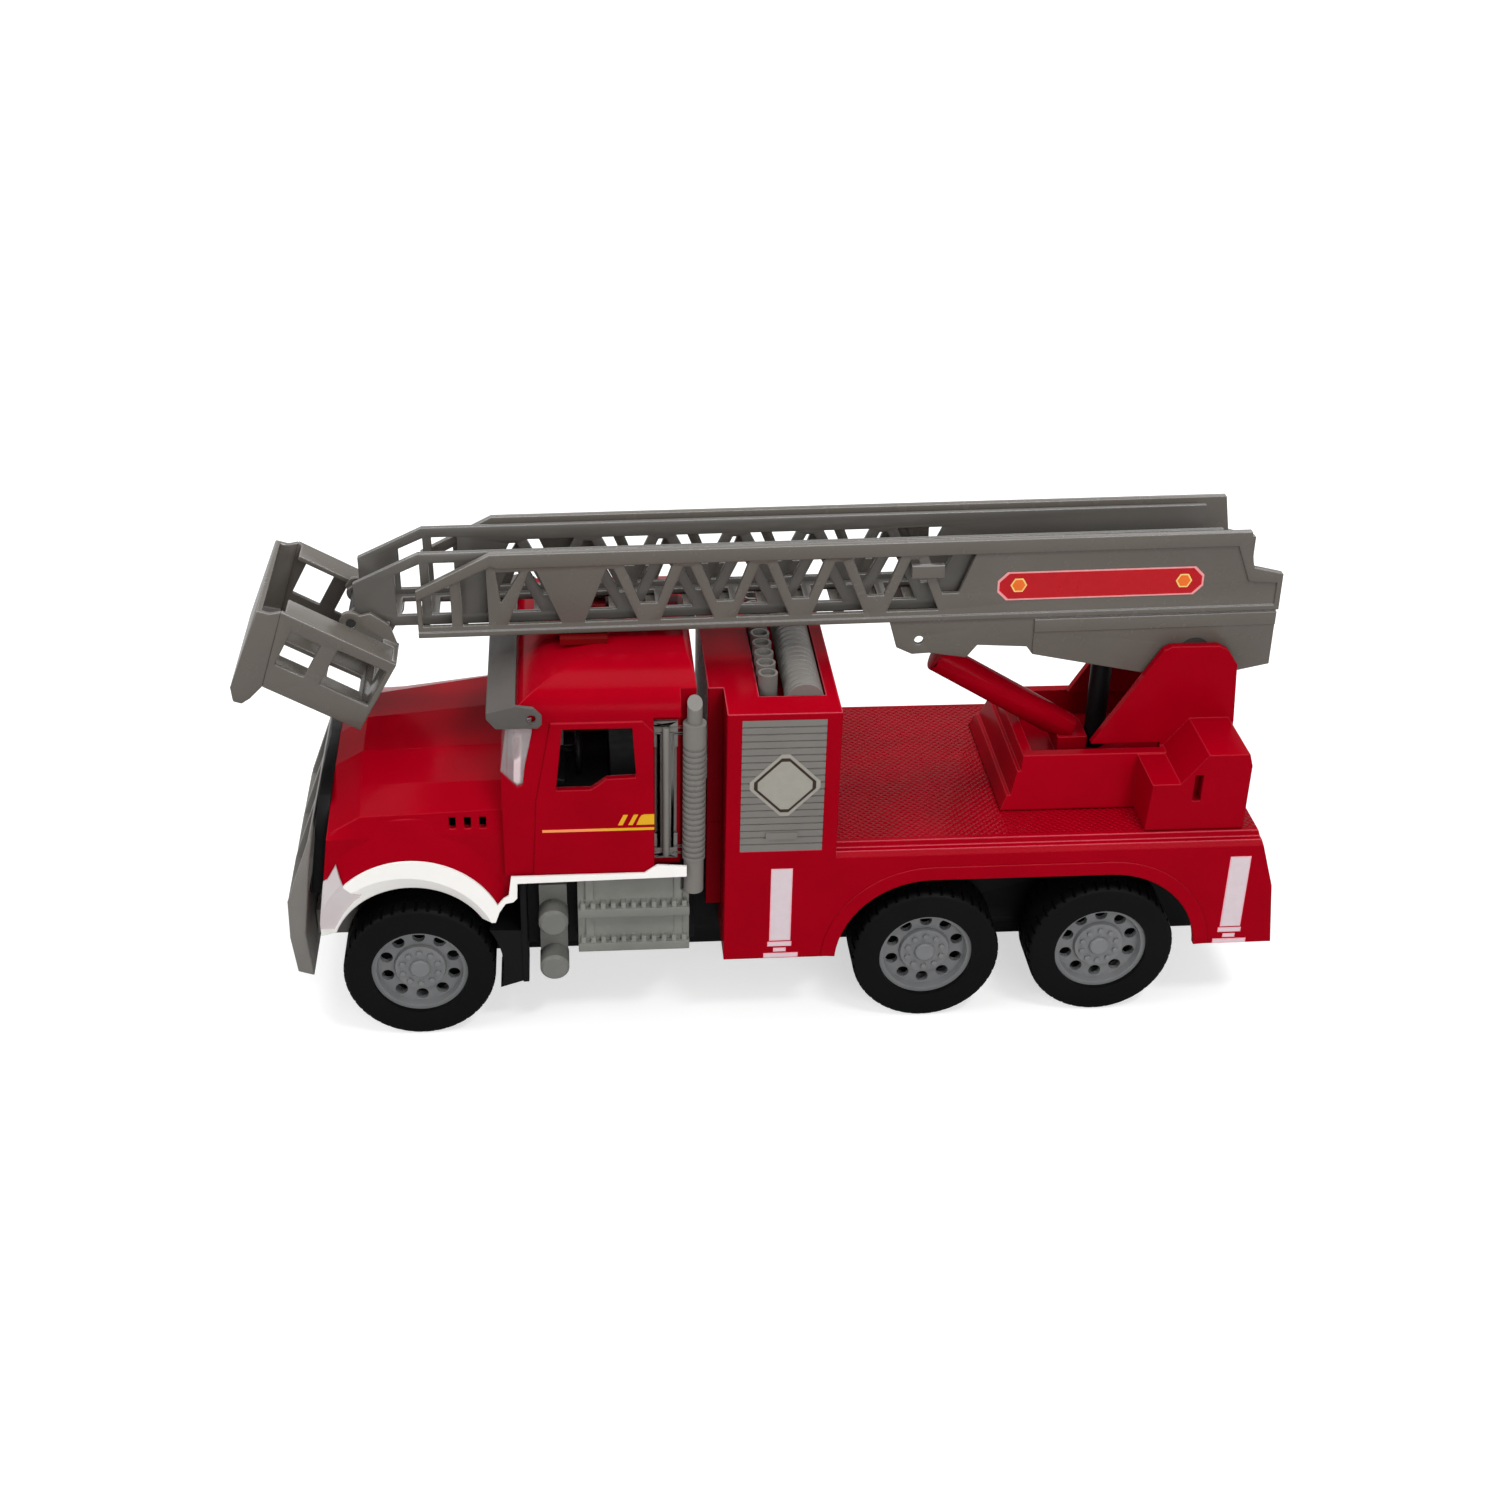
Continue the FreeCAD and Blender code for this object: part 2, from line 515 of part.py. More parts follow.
def mirror(name, source):
    """The same piece on the other side of the middle plane."""
    image = doc.addObject("Part::Mirroring", name)
    image.Source = source
    image.Normal = ACROSS
    return image


def draw(sketch, loops):
    """Closed loops of straight or curved sides, each corner tied to the sheet.

    A corner is (u, v) or (u, v, radius), where a radius bends the side that starts there to the left
    when it is positive and to the right when it is negative. A circle is ("circle", u, v, radius)."""
    for loop in loops:
        if loop[0] == "circle":
            kind, u, v, radius = loop
            centre = FreeCAD.Vector(sized(u).value, sized(v).value, 0)
            index = sketch.addGeometry(Part.Circle(centre, UP, sized(radius).value), False)
            for rule, size in (("DistanceX", u), ("DistanceY", v)):
                fixed = sketch.addConstraint(Sketcher.Constraint(rule, -1, 1, index, 3, sized(size).value))
                bind(sketch, "Constraints[%d]" % fixed, size)
            fixed = sketch.addConstraint(Sketcher.Constraint("Radius", index, sized(radius).value))
            bind(sketch, "Constraints[%d]" % fixed, radius)
            continue
        ends = []
        for here, there in zip(loop, loop[1:] + loop[:1]):
            start = FreeCAD.Vector(sized(here[0]).value, sized(here[1]).value, 0)
            stop = FreeCAD.Vector(sized(there[0]).value, sized(there[1]).value, 0)
            if len(here) == 2:
                index = sketch.addGeometry(Part.LineSegment(start, stop), False)
                ends.append((index, 1, 2))
                continue
            radius = sized(here[2])
            size, half = abs(radius.value), (stop - start) * 0.5
            left = FreeCAD.Vector(-half.y, half.x, 0).normalize()
            reach = math.sqrt(size**2 - half.Length**2)
            centre = start + half + left * (reach if radius.value > 0 else -reach)
            first, last = (start, stop) if radius.value > 0 else (stop, start)
            angles = [math.atan2(p.y - centre.y, p.x - centre.x) for p in (first, last)]
            if angles[1] < angles[0]:
                angles[1] += 2 * math.pi
            circle = Part.Circle(centre, UP, size)
            index = sketch.addGeometry(Part.ArcOfCircle(circle, angles[0], angles[1]), False)
            ends.append((index, 1, 2) if radius.value > 0 else (index, 2, 1))
            fixed = sketch.addConstraint(Sketcher.Constraint("Radius", index, size))
            bind(sketch, "Constraints[%d]" % fixed, radius if radius.value > 0 else -radius)
        for (index, start_end, stop_end), (after, after_start, after_stop) in zip(ends, ends[1:] + ends[:1]):
            sketch.addConstraint(Sketcher.Constraint("Coincident", index, stop_end, after, after_start))
        for (index, start_end, stop_end), corner in zip(ends, loop):
            for rule, size in (("DistanceX", corner[0]), ("DistanceY", corner[1])):
                value = sized(size).value
                fixed = sketch.addConstraint(Sketcher.Constraint(rule, -1, 1, index, start_end, value))
                bind(sketch, "Constraints[%d]" % fixed, size)
    return sketch


# How a drawing lies on each plane: rotation axis, angle and the way its normal points.
PLANES = {
    "XY": (UP, 0, "z", 1),
    "XZ": (ALONG, 90, "y", -1),
    "YZ": (FreeCAD.Vector(1, 1, 1), 120, "x", 1),
}


def prism(name, plane, loops, ends):
    """Loops drawn on a plane and drawn out between two places along its normal."""
    axis, angle, way, sign = PLANES[plane]
    sketch = draw(doc.addObject("Sketcher::SketchObject", name + "_outline"), loops)
    start = ends[0] if sign > 0 else ends[1]
    move(sketch, axis=axis, angle=angle, **{way: start})
    solid = doc.addObject("Part::Extrusion", name)
    solid.Base = sketch
    solid.DirMode = "Normal"
    solid.Solid = True
    bind(solid, "LengthFwd", ends[1] - ends[0])
    return solid


def loft(name, plane, sections):
    """A solid drawn straight from each outline to the next; a section is (place, loop)."""
    axis, angle, way, sign = PLANES[plane]
    outlines = []
    for place, loop in sections:
        outline = doc.addObject("Sketcher::SketchObject", "%s_outline_%d" % (name, len(outlines)))
        outlines.append(move(draw(outline, [loop]), axis=axis, angle=angle, **{way: place}))
    solid = doc.addObject("Part::Loft", name)
    solid.Sections = outlines
    solid.Solid = True
    solid.Ruled = True
    return solid


def new_body(name):
    return doc.addObject("PartDesign::Body", name)


def body_plane(body, role):
    return next(feature for feature in body.Origin.OriginFeatures if feature.Role == role)


def body_sketch(body, name, plane, loops, offset=0):
    """A sketch on one of the body's own planes, moved along the plane's normal."""
    sketch = body.newObject("Sketcher::SketchObject", name)
    sketch.AttachmentSupport = [(body_plane(body, plane + "_Plane"), "")]
    sketch.MapMode = "FlatFace"
    bind(sketch, "AttachmentOffset.Base.z", offset)
    return draw(sketch, loops)


def pad(body, name, plane, loops, ends):
    """Material between two places along the plane's normal."""
    sign = PLANES[plane][3]
    offset = ends[0] if sign > 0 else -ends[1]
    feature = body.newObject("PartDesign::Pad", name)
    feature.Profile = body_sketch(body, name + "_outline", plane, loops, offset)
    bind(feature, "Length", ends[1] - ends[0])
    return feature


def pocket(body, name, plane, loops, ends):
    """A hole or slot between two places along the plane's normal."""
    sign = PLANES[plane][3]
    offset = ends[1] if sign > 0 else -ends[0]
    feature = body.newObject("PartDesign::Pocket", name)
    feature.Profile = body_sketch(body, name + "_outline", plane, loops, offset)
    bind(feature, "Length", ends[1] - ends[0])
    return feature


def row_of(body, name, originals, axis, pitch, count, back=False):
    """Repeats features along one of the body's axes."""
    pattern = body.newObject("PartDesign::LinearPattern", name)
    pattern.Originals = originals
    pattern.Direction = (body_plane(body, axis + "_Axis"), [""])
    pattern.Reversed = back
    bind(pattern, "Length", pitch * (count - 1))
    bind(pattern, "Occurrences", count)
    body.Tip = pattern
    return pattern


def ring_of(body, name, originals, axis, count):
    """Repeats features all round one of the body's axes."""
    pattern = body.newObject("PartDesign::PolarPattern", name)
    pattern.Originals = originals
    pattern.Axis = (body_plane(body, axis + "_Axis"), [""])
    pattern.Angle = 360
    bind(pattern, "Occurrences", count)
    body.Tip = pattern
    return pattern


nodes = {}


def piece(node, *solids):
    """Registers what a node holds; the first solid carries the node's name."""
    solids[0].Label = node
    nodes[node] = solids


def back(distance):
    """A place behind the front axle."""
    return s.front_axle - distance


def both_sides(half):
    return (-half, half)


def span(side, low, high):
    """A stretch across the truck on the left (1) or the right (-1) of the middle plane."""
    return (sized(low), high) if side > 0 else (-high, -sized(low))


def mirrored(points):
    """A left half outline, from the middle plane out and down, closed by its mirror image."""
    image = [(-here[0], here[1]) + before[2:] for before, here in zip(points, points[1:])]
    return points + image[::-1]


# ---- wheels: one tyre and one rim, set out on three axles -------------------------------------

axle_places = [
    ("front", back(0)),
    ("middle", back(s.wheelbase)),
    ("rear", back(s.wheelbase + s.bogie_spacing)),
]
tyre_back = s.wheel_face - s.tyre_width
rim_face = s.wheel_face - s.rim_inset
disc_face = rim_face - s.rim_dish
disc_back = disc_face - s.rim_disc
hub_face = disc_face + s.hub_rise
cap_face = hub_face + s.hub_cap_rise
bore_end = hub_face - s.hub_cap_rise / 2


def spin(body, name, loops, plane="YZ", axis="Y"):
    """A drawing turned all round one of the body's axes."""
    feature = body.newObject("PartDesign::Revolution", name)
    feature.Profile = body_sketch(body, name + "_outline", plane, loops)
    feature.ReferenceAxis = (body_plane(body, axis + "_Axis"), [""])
    feature.Angle = 360
    return feature


def make_tyre():
    body = new_body("tyre")
    shoulder = s.tyre_shoulder
    tread = s.tyre_radius - shoulder
    outline = [
        (tyre_back, s.rim_radius),
        (s.wheel_face, s.rim_radius),
        (s.wheel_face, tread, shoulder),
        (s.wheel_face - shoulder, s.tyre_radius),
        (tyre_back + shoulder, s.tyre_radius, shoulder),
        (tyre_back, tread),
    ]
    spin(body, "tyre_ring", [outline])
    half = s.tread_groove / 2
    floor, above = s.tyre_radius - s.tread_depth, s.tyre_radius + s.tread_depth
    slot = [(-half, floor), (half, floor), (half, above), (-half, above)]
    block = s.tyre_width / 3
    outer = pocket(body, "outer_groove", "XZ", [slot], (s.wheel_face - block, s.wheel_face + 1))
    inner = pocket(body, "inner_groove", "XZ", [slot], (tyre_back - 1, tyre_back + block))
    ring_of(body, "tread", [outer, inner], "Y", s.tread_blocks)
    return body


def make_rim():
    body = new_body("rim")
    lip_inner = s.rim_radius - s.rim_lip
    boss = s.hub_radius / 2
    bevel = s.hub_cap_rise / 3
    outline = [
        (bore_end, 0),
        (cap_face, 0),
        (cap_face, s.hub_cap_radius - bevel),
        (cap_face - bevel, s.hub_cap_radius),
        (hub_face, s.hub_cap_radius),
        (hub_face, s.hub_radius),
        (disc_face, s.hub_radius + bevel),
        (disc_face, lip_inner - bevel),
        (rim_face, lip_inner),
        (rim_face, s.rim_radius),
        (tyre_back + 1, s.rim_radius),
        (tyre_back + 1, lip_inner),
        (disc_back, lip_inner),
        (disc_back, boss),
        (disc_back - s.rim_dish, boss),
        (disc_back - s.rim_dish, s.axle_radius),
        (bore_end, s.axle_radius),
    ]
    spin(body, "rim_disc", [outline])
    hole = ("circle", 0, s.hand_hole_circle, s.hand_hole_radius)
    hand_hole = pocket(body, "hand_hole", "XZ", [hole], (disc_back - 1, disc_face + 1))
    ring_of(body, "hand_holes", [hand_hole], "Y", s.hand_holes)
    bolt = ("circle", 0, s.bolt_circle, s.bolt_radius)
    wheel_bolt = pad(body, "bolt", "XZ", [bolt], (hub_face, hub_face + s.bolt_rise))
    ring_of(body, "bolts", [wheel_bolt], "Y", s.wheel_bolts)
    return body


tyre, rim = make_tyre(), make_rim()
tyre_right, rim_right = mirror("tyre_right", tyre), mirror("rim_right", rim)
for place, x in axle_places:
    for node, pair in (("tyres_" + place, [tyre, tyre_right]), ("rims_" + place, [rim, rim_right])):
        set_out = doc.addObject("Part::Compound", node)
        set_out.Links = pair
        piece(node, move(set_out, x=x, z=s.tyre_radius))
    node = "axle_" + place
    piece(node, rod(node, "Y", x, -bore_end, s.tyre_radius, s.axle_radius, bore_end * 2))


# ---- chassis ----------------------------------------------------------------------------------

column_front = s.cab_rear_back + s.cab_gap
locker_front = column_front + s.column_length
locker_rear = locker_front + s.locker_length
last_axle_back = s.wheelbase + s.bogie_spacing
deck_rear = last_axle_back + s.rear_overhang
body_rear = deck_rear + s.rear_flare
stack_reach = s.stack_radius + s.stack_rib + s.stack_room


def make_chassis():
    """The tray from end to end, and the boxes astride it that carry the cab's floor and the tanks."""
    wall = s.chassis_wall
    ends = (back(deck_rear - s.shell_wall * 2), back(-s.nose_ahead + s.nose_rake + s.shell_wall * 2))
    tray = box("tray", ends, both_sides(s.chassis_half), (s.chassis_bottom, s.chassis_top))
    hollow = box(
        "tray_hollow",
        (ends[0] + wall, ends[1] - wall),
        both_sides(s.chassis_half - wall),
        (s.chassis_bottom - 1, s.chassis_top - wall),
    )
    across = s.body_half * 2
    holes = [
        rod("axle_hole_" + place, "Y", x, -s.body_half, s.tyre_radius, s.axle_radius + s.running_gap, across)
        for place, x in axle_places
    ]
    piece("chassis", cut("chassis", tray, [hollow] + holes))

    steps = box(
        "step_boxes",
        (back(s.cab_rear_back), back(s.flap_back + wall)),
        both_sides(s.step_box_half),
        (s.step_box_bottom, s.sill_height),
    )
    step_hollow = box(
        "step_hollow",
        (back(s.cab_rear_back - wall), back(s.flap_back + wall * 2)),
        both_sides(s.step_box_half - wall),
        (s.step_box_bottom - 1, s.sill_height - wall),
    )
    floor = box(
        "floor_plate",
        (back(s.stack_back - stack_reach), back(s.flap_back)),
        both_sides(s.cab_floor_half),
        (s.tank_top + s.strap_rise + s.seat_gap, s.sill_height),
    )
    hanger = box(
        "flap_hanger",
        (back(s.flap_back + wall), back(s.flap_back)),
        both_sides(s.flap_outer),
        (s.step_box_bottom, s.sill_height - s.seat_gap),
    )
    flaps = [
        box(
            "flap_%d" % side,
            (back(s.flap_back + wall), back(s.flap_back)),
            span(side, s.flap_inner, s.flap_outer),
            (s.flap_bottom, s.chassis_top),
        )
        for side in (1, -1)
    ]
    seat = box(
        "tray_seat",
        (back(s.cab_rear_back + 1), back(s.flap_back - 1)),
        both_sides(s.chassis_half),
        (s.chassis_bottom, s.chassis_top),
    )
    outside = fuse("cab_floor_outside", [steps, floor, hanger] + flaps)
    piece("cab_floor", cut("cab_floor", outside, [step_hollow, seat]))


make_chassis()


# ---- cab and hood: a hollow red moulding -------------------------------------------------------


# The rear foot of the white trim: corners behind the front axle and above the sill strip's foot.
foot_edge = [
    (back(s.trim_foot_back), s.trim_foot_height),
    (back(s.trim_foot_back + 1.3), s.trim_foot_height + 3.8),
    (back(s.trim_foot_back + 3.2), s.trim_foot_height + 6.7),
    (back(s.trim_foot_back + 5.5), s.trim_foot_height + 7.2),
    (back(s.trim_foot_back + 6.7), s.trim_foot_height + 8.5),
    (back(s.cowl_back + s.shell_wall * 2), s.sill_height - 2.0),
]


def side_limits(name, inset, bottom, half):
    """The hood and fender seen from the side: the outer form ends at the foot of the trim."""
    nose = s.nose_ahead - inset
    rear = back(s.cowl_back + s.shell_wall * 2)
    outline = [
        (back(-nose), bottom),
        (back(-nose), s.nose_bottom + s.nose_rake),
        (back(-nose + s.nose_rake), s.hood_front_height),
        (back(-nose + s.nose_rake), s.cab_belt_height),
        (rear, s.cab_belt_height),
    ]
    edge = foot_edge if bottom is s.nose_bottom else [(rear, bottom)]
    foot = [(back(0), s.trim_foot_height), (back(0), bottom)] if bottom is s.nose_bottom else []
    return prism(name, "XZ", [outline + edge[::-1] + foot], both_sides(half))


def hood_section(top, taper, inset, bottom):
    """Half of the hood across, from its middle down to its foot."""
    ridge = s.hood_foot_half - s.hood_ridge_inset
    shoulder = s.hood_shoulder_half - s.hood_shoulder_taper * taper
    return mirrored([
        (0, top - inset),
        (s.hood_crown_half - s.hood_crown_taper * taper - inset, top - s.hood_crown_drop - inset),
        (shoulder - inset, top - s.hood_shoulder_drop + taper - inset),
        (ridge - inset, top - s.hood_ridge_drop + taper * 3 - inset),
        (s.hood_foot_half - inset, s.hood_foot_height - taper - inset),
        (s.hood_foot_half - inset, bottom),
    ])


def hood_block(name, inset, bottom):
    """The hood's outer form down to the fenders' feet, or its hollow when set in by the wall."""
    brow = -s.nose_ahead + s.nose_rake + s.hood_brow
    slope = (s.hood_brow_height - s.hood_front_height) / s.hood_brow
    sections = [
        (back(s.cowl_back + s.shell_wall * 2), hood_section(s.hood_rear_height, 0, inset, bottom)),
        (back(brow), hood_section(s.hood_brow_height, 0.9, inset, bottom)),
        (back(-s.nose_ahead + s.nose_rake), hood_section(s.hood_front_height, 1, inset, bottom)),
        (back(-s.nose_ahead - 1), hood_section(s.hood_front_height - slope * (s.nose_rake + 1), 1, inset, bottom)),
    ]
    form = loft(name + "_form", "YZ", sections)
    return common(name, [form, side_limits(name + "_side", inset, bottom, s.body_half)])


def make_flare(name, rise):
    """The flared part of both fenders, from the hood's side out to the white trim."""
    outer = s.body_half - s.trim_thickness + rise
    flares = []
    for side in (1, -1):
        flares.append(loft("%s_%d" % (name, side), "XZ", [
            (outer * side, ("circle", back(-s.trim_ahead), s.trim_height, s.trim_radius + rise)),
            ((s.flare_half + rise) * side, ("circle", back(-s.trim_ahead), s.flare_height, s.flare_radius + rise)),
        ]))
    limits = side_limits(name + "_limits", sized(0), s.nose_bottom, s.body_half + 1)
    return common(name, [fuse(name + "_pair", flares), limits])


def cab_block(name, inset, bottom):
    """The cab's outer form above the sill, or its hollow when it is set in by the wall."""
    front = s.cowl_back + inset
    rear = s.cab_rear_back - inset
    roof = s.roof_height - inset
    side = [
        (back(front), bottom),
        (back(front), s.hood_rear_height),
        (back(front + 2.5), s.glass_top - inset / 2),
        (back(front + 5.5), s.glass_top + 3.1 - inset, s.brow_round),
        (back(front + 18.0), roof - 2.6, s.roof_round),
        (back(front + 40.5), roof),
        (back(rear - s.rear_round), roof, s.rear_round),
        (back(rear), roof - s.rear_round),
        (back(rear), bottom),
    ]
    half = mirrored([
        (0, roof),
        (s.roof_flat_half - inset, roof - 1.0, -s.roof_side_round),
        (s.roof_shoulder_half - inset, roof - s.roof_shoulder_drop, inset - s.roof_edge_round),
        (s.cab_belt_half - inset, s.cab_belt_height),
        (s.cab_sill_half - inset, s.hood_rear_height - 10),
        (s.cab_sill_half - inset, bottom),
    ])
    width = prism(name + "_side", "XZ", [side], both_sides(s.body_half))
    length = prism(name + "_front", "YZ", [half], (back(s.cab_rear_back), back(s.cowl_back)))
    return common(name, [width, length])


axle_z = s.tyre_radius
window = [
    (back(s.window_front_back + 2.2), s.window_top),
    (back(s.window_rear_back - 1.0), s.window_top),
    (back(s.window_rear_back), s.window_sill + s.window_step),
    (back(s.window_rear_back - 8.6), s.window_sill + s.window_step - 0.3),
    (back(s.window_front_back + 10.2), s.window_sill),
    (back(s.window_front_back), s.window_sill),
]
glass_edge = [
    (back(s.cowl_back), s.hood_rear_height + 0.6),
    (back(s.cowl_back + 4.6), s.glass_corner_bottom),
    (back(s.cowl_back + 6.3), s.glass_corner_bottom + 0.8),
    (back(s.glass_corner_back - 2.4), s.hood_rear_height + 1.8),
    (back(s.glass_corner_back), s.glass_top - 4.5),
    (back(s.glass_corner_back), s.glass_top),
    (back(s.cowl_back + 2.4), s.glass_top),
]
lamp_lens = [
    (back(-s.nose_ahead - 1), s.nose_bottom + 3.0),
    (back(-s.nose_ahead + 1), s.nose_bottom + 17.5),
    (back(-s.nose_ahead + 3.0), s.nose_bottom + 19.0),
    (back(-s.nose_ahead + 5.8), s.nose_bottom + 23.8),
    (back(-s.nose_ahead + 6.8), s.nose_bottom + 20.0),
    (back(-s.nose_ahead + 7.8), s.nose_bottom + 17.2),
    (back(-s.nose_ahead + 9.7), s.nose_bottom + 15.4),
    (back(-s.nose_ahead + 12.7), s.nose_bottom + 14.2),
    (back(-s.nose_ahead + 10.7), s.nose_bottom + 12.8),
    (back(-s.nose_ahead + 7.4), s.nose_bottom + 8.8),
    (back(-s.nose_ahead + 4.2), s.nose_bottom + 3.0),
]


def trim_ring(name, side, outer):
    """The white trim round a wheel arch as a full disc, cut off at its feet."""
    inner = s.body_half - s.trim_depth
    across = span(side, inner, outer)
    disc = rod(name + "_disc", "Y", back(-s.trim_ahead), across[0], s.trim_height, s.trim_radius, across[1] - across[0])
    return common(name, [disc, side_limits(name + "_limits", sized(0), s.nose_bottom, s.body_half + 1)])


def make_cab_shell():
    wall, beyond = s.shell_wall, s.body_half + 1
    outer = fuse("cab_outer", [
        hood_block("hood_outer", sized(0), s.nose_bottom),
        cab_block("cab_outer_block", sized(0), s.sill_height),
        make_flare("flare", sized(0)),
    ])
    door = [
        (back(s.door_front_back - 1.0), s.sill_height),
        (back(s.door_front_back + 0.5), s.window_sill - 3.0),
        (back(s.door_front_back + 5.2), s.cab_belt_height + 0.5),
        (back(s.door_rear_back - 3.2), s.cab_belt_height + 0.5),
        (back(s.door_rear_back), s.cab_belt_height - 3.0),
        (back(s.door_rear_back), s.sill_height),
    ]
    door_slab = prism("door_slab", "XZ", [door], both_sides(s.body_half))
    doors = common("doors", [door_slab, cab_block("door_form", -s.door_rise, s.sill_height)])
    hollow = fuse("cab_hollow", [
        hood_block("hood_inner", wall, s.nose_bottom - 1),
        cab_block("cab_inner_block", wall, s.sill_height - 1),
    ])
    lens_hole = prism("lens_hole", "XZ", [lamp_lens], both_sides(beyond))
    lens_core = box(
        "lens_core",
        (back(s.nose_ahead), back(-s.nose_ahead - 1)),
        both_sides(s.body_half - s.headlamp_depth),
        (s.nose_bottom, s.fender_top),
    )
    openings = [
        prism("window_hole", "XZ", [window], both_sides(beyond)),
        prism("glass_hole", "XZ", [glass_opening], both_sides(beyond)),
        rod("arch", "Y", back(-s.arch_ahead), -beyond, s.arch_height, s.arch_radius, beyond * 2),
        cut("lens_pockets", lens_hole, [lens_core]),
        trim_ring("trim_seat_left", 1, beyond),
        trim_ring("trim_seat_right", -1, beyond),
    ]
    kept = []
    # The steps behind the doors, where the grab handles stand, and the corners for the stacks.
    corners = [
        ("handle_step", s.door_rear_back, s.cab_belt_half - s.handle_recess, s.handle_top + s.handle_headroom),
        ("stack_corner", s.stack_back - stack_reach, s.stack_centre - stack_reach, s.roof_height + 1),
    ]
    for side in (-1, 1):
        for name, front, depth, top in corners:
            rear = back(s.cab_rear_back + 1)
            heights = (s.sill_height - 2, top)
            openings.append(box("%s_%d" % (name, side), (rear, back(front)), span(side, depth, beyond), heights))
            kept.append(box(
                "%s_wall_%d" % (name, side),
                (rear, back(front - wall)),
                span(side, depth - wall, beyond),
                (s.sill_height - 2, top + wall),
            ))
        vent_bottom = s.hood_rear_height - s.vent_drop
        for number in range(3):
            middle = s.vent_back + s.vent_pitch * number
            openings.append(box(
                "vent_%d_%d" % (side, number),
                (back(middle + s.vent_width / 2), back(middle - s.vent_width / 2)),
                span(side, s.hood_shoulder_half, beyond),
                (vent_bottom, vent_bottom + s.vent_height),
            ))
    inside = cut("cab_inside", hollow, kept)
    whole = fuse("cab_with_doors", [outer, doors])
    piece("cab_shell", cut("cab_shell", whole, [inside] + openings))


glass_opening = [(back(s.cowl_back - 6.0), s.hood_rear_height + 0.6)] + glass_edge[:-1]
glass_opening.append((back(s.cowl_back - 6.0), s.glass_top))
make_cab_shell()


def make_fender_trim():
    """The white ring of each wheel arch and the sill strip behind it."""
    inner, outer = s.body_half - s.trim_thickness, s.body_half
    for side, node in ((1, "fender_trim_left"), (-1, "fender_trim_right")):
        strip = prism(node + "_sill", "XZ", [foot_edge + [
            (back(s.cab_rear_back - 3.0), s.sill_height - 1.2),
            (back(s.cab_rear_back - 3.0), s.sill_height + 2.4),
            (back(s.door_rear_back + 0.8), s.sill_height + 3.1),
            (back(s.door_rear_back - 3.0), s.sill_height + 0.4),
            (back(s.trim_foot_back + 5.1), s.sill_height + 0.4),
            (back(s.trim_foot_back + 4.2), s.trim_foot_height + 9.4),
            (back(s.trim_foot_back + 2.6), s.trim_foot_height + 8.4),
            (back(s.trim_foot_back + 0.7), s.trim_foot_height + 6.0),
        ]], span(side, inner, outer))
        band = fuse(node + "_band", [trim_ring(node + "_ring", side, outer), strip])
        beyond = s.body_half + 1
        opening = rod(node + "_arch", "Y", back(-s.arch_ahead), -beyond, s.arch_height, s.arch_radius, beyond * 2)
        lead = s.trim_bevel_radius - s.arch_radius
        bevel = loft(node + "_bevel", "XZ", [
            ((inner - s.trim_depth + s.trim_thickness) * side,
             ("circle", back(-s.arch_ahead), s.arch_height, s.arch_radius)),
            (outer * side, ("circle", back(-s.arch_ahead - lead / 2), s.arch_height + lead / 2, s.trim_bevel_radius)),
        ])
        lens = prism(node + "_lens", "XZ", [lamp_lens], both_sides(beyond))
        piece(node, cut(node, band, [opening, bevel, lens]))


make_fender_trim()


def make_glass():
    wall, edge = s.glass_wall, s.cab_belt_half + 0.4
    outer = prism("glass_outer", "XZ", [glass_edge], both_sides(edge))
    inner = box(
        "glass_inner",
        (back(s.glass_corner_back + 1), back(s.cowl_back + 2.4 + wall)),
        both_sides(edge - wall),
        (s.glass_corner_bottom - 1, s.glass_top + 1),
    )
    piece("windscreen", cut("windscreen", outer, [inner]))
    lens = prism("lens_outer", "XZ", [lamp_lens], both_sides(s.body_half))
    flare = make_flare("lens_form", s.trim_thickness)
    for side, node in ((1, "headlamp_left"), (-1, "headlamp_right")):
        limits = box(
            node + "_limits",
            (back(s.nose_ahead), back(-s.nose_ahead)),
            span(side, s.body_half - s.headlamp_depth, s.body_half),
            (s.nose_bottom, s.fender_top),
        )
        piece(node, common(node, [lens, limits, flare]))


make_glass()


def make_visor():
    front, rear = back(s.cowl_back - s.visor_ahead), back(s.cowl_back - s.visor_ahead + s.visor_depth)
    low = s.glass_top + 1.3
    half = s.cab_belt_half + s.visor_side
    slope = s.visor_slope
    shade = prism("visor_shade", "XZ", [[
        (front, low),
        (rear, low + slope),
        (rear, low + slope + s.visor_thickness),
        (front, low + s.visor_thickness),
    ]], both_sides(half))
    lug_rear = back(s.visor_lug_back)
    lugs = []
    for side in (1, -1):
        lug = [
            (front, low + s.visor_thickness),
            (rear, low + slope + s.visor_thickness),
            (lug_rear + 2.4, s.visor_lug_bottom + 6.6),
            (lug_rear, s.visor_lug_bottom + 4.0),
            (lug_rear, s.visor_lug_bottom + 1.2),
            (lug_rear + 1.2, s.visor_lug_bottom),
            (front - 2.6, s.visor_lug_bottom),
            (front, low - 0.4),
        ]
        eye = ("circle", lug_rear + 3.0, s.visor_lug_bottom + 3.0, s.visor_hole_radius)
        lugs.append(prism("visor_lug_%d" % side, "XZ", [lug, eye], span(side, half, half + s.visor_lug_stand)))
    piece("sun_visor", fuse("sun_visor", [shade] + lugs))
    lamp = box(
        "roof_lamps",
        (back(s.lamp_bar_front_back + s.lamp_bar_length), back(s.lamp_bar_front_back)),
        both_sides(s.lamp_bar_half),
        (s.roof_height - s.lamp_bar_height, s.roof_height + s.lamp_bar_height),
    )
    seat = cab_block("lamp_seat", sized(0), s.sill_height)
    piece("roof_lamps", cut("roof_lamps", lamp, [seat]))


make_visor()


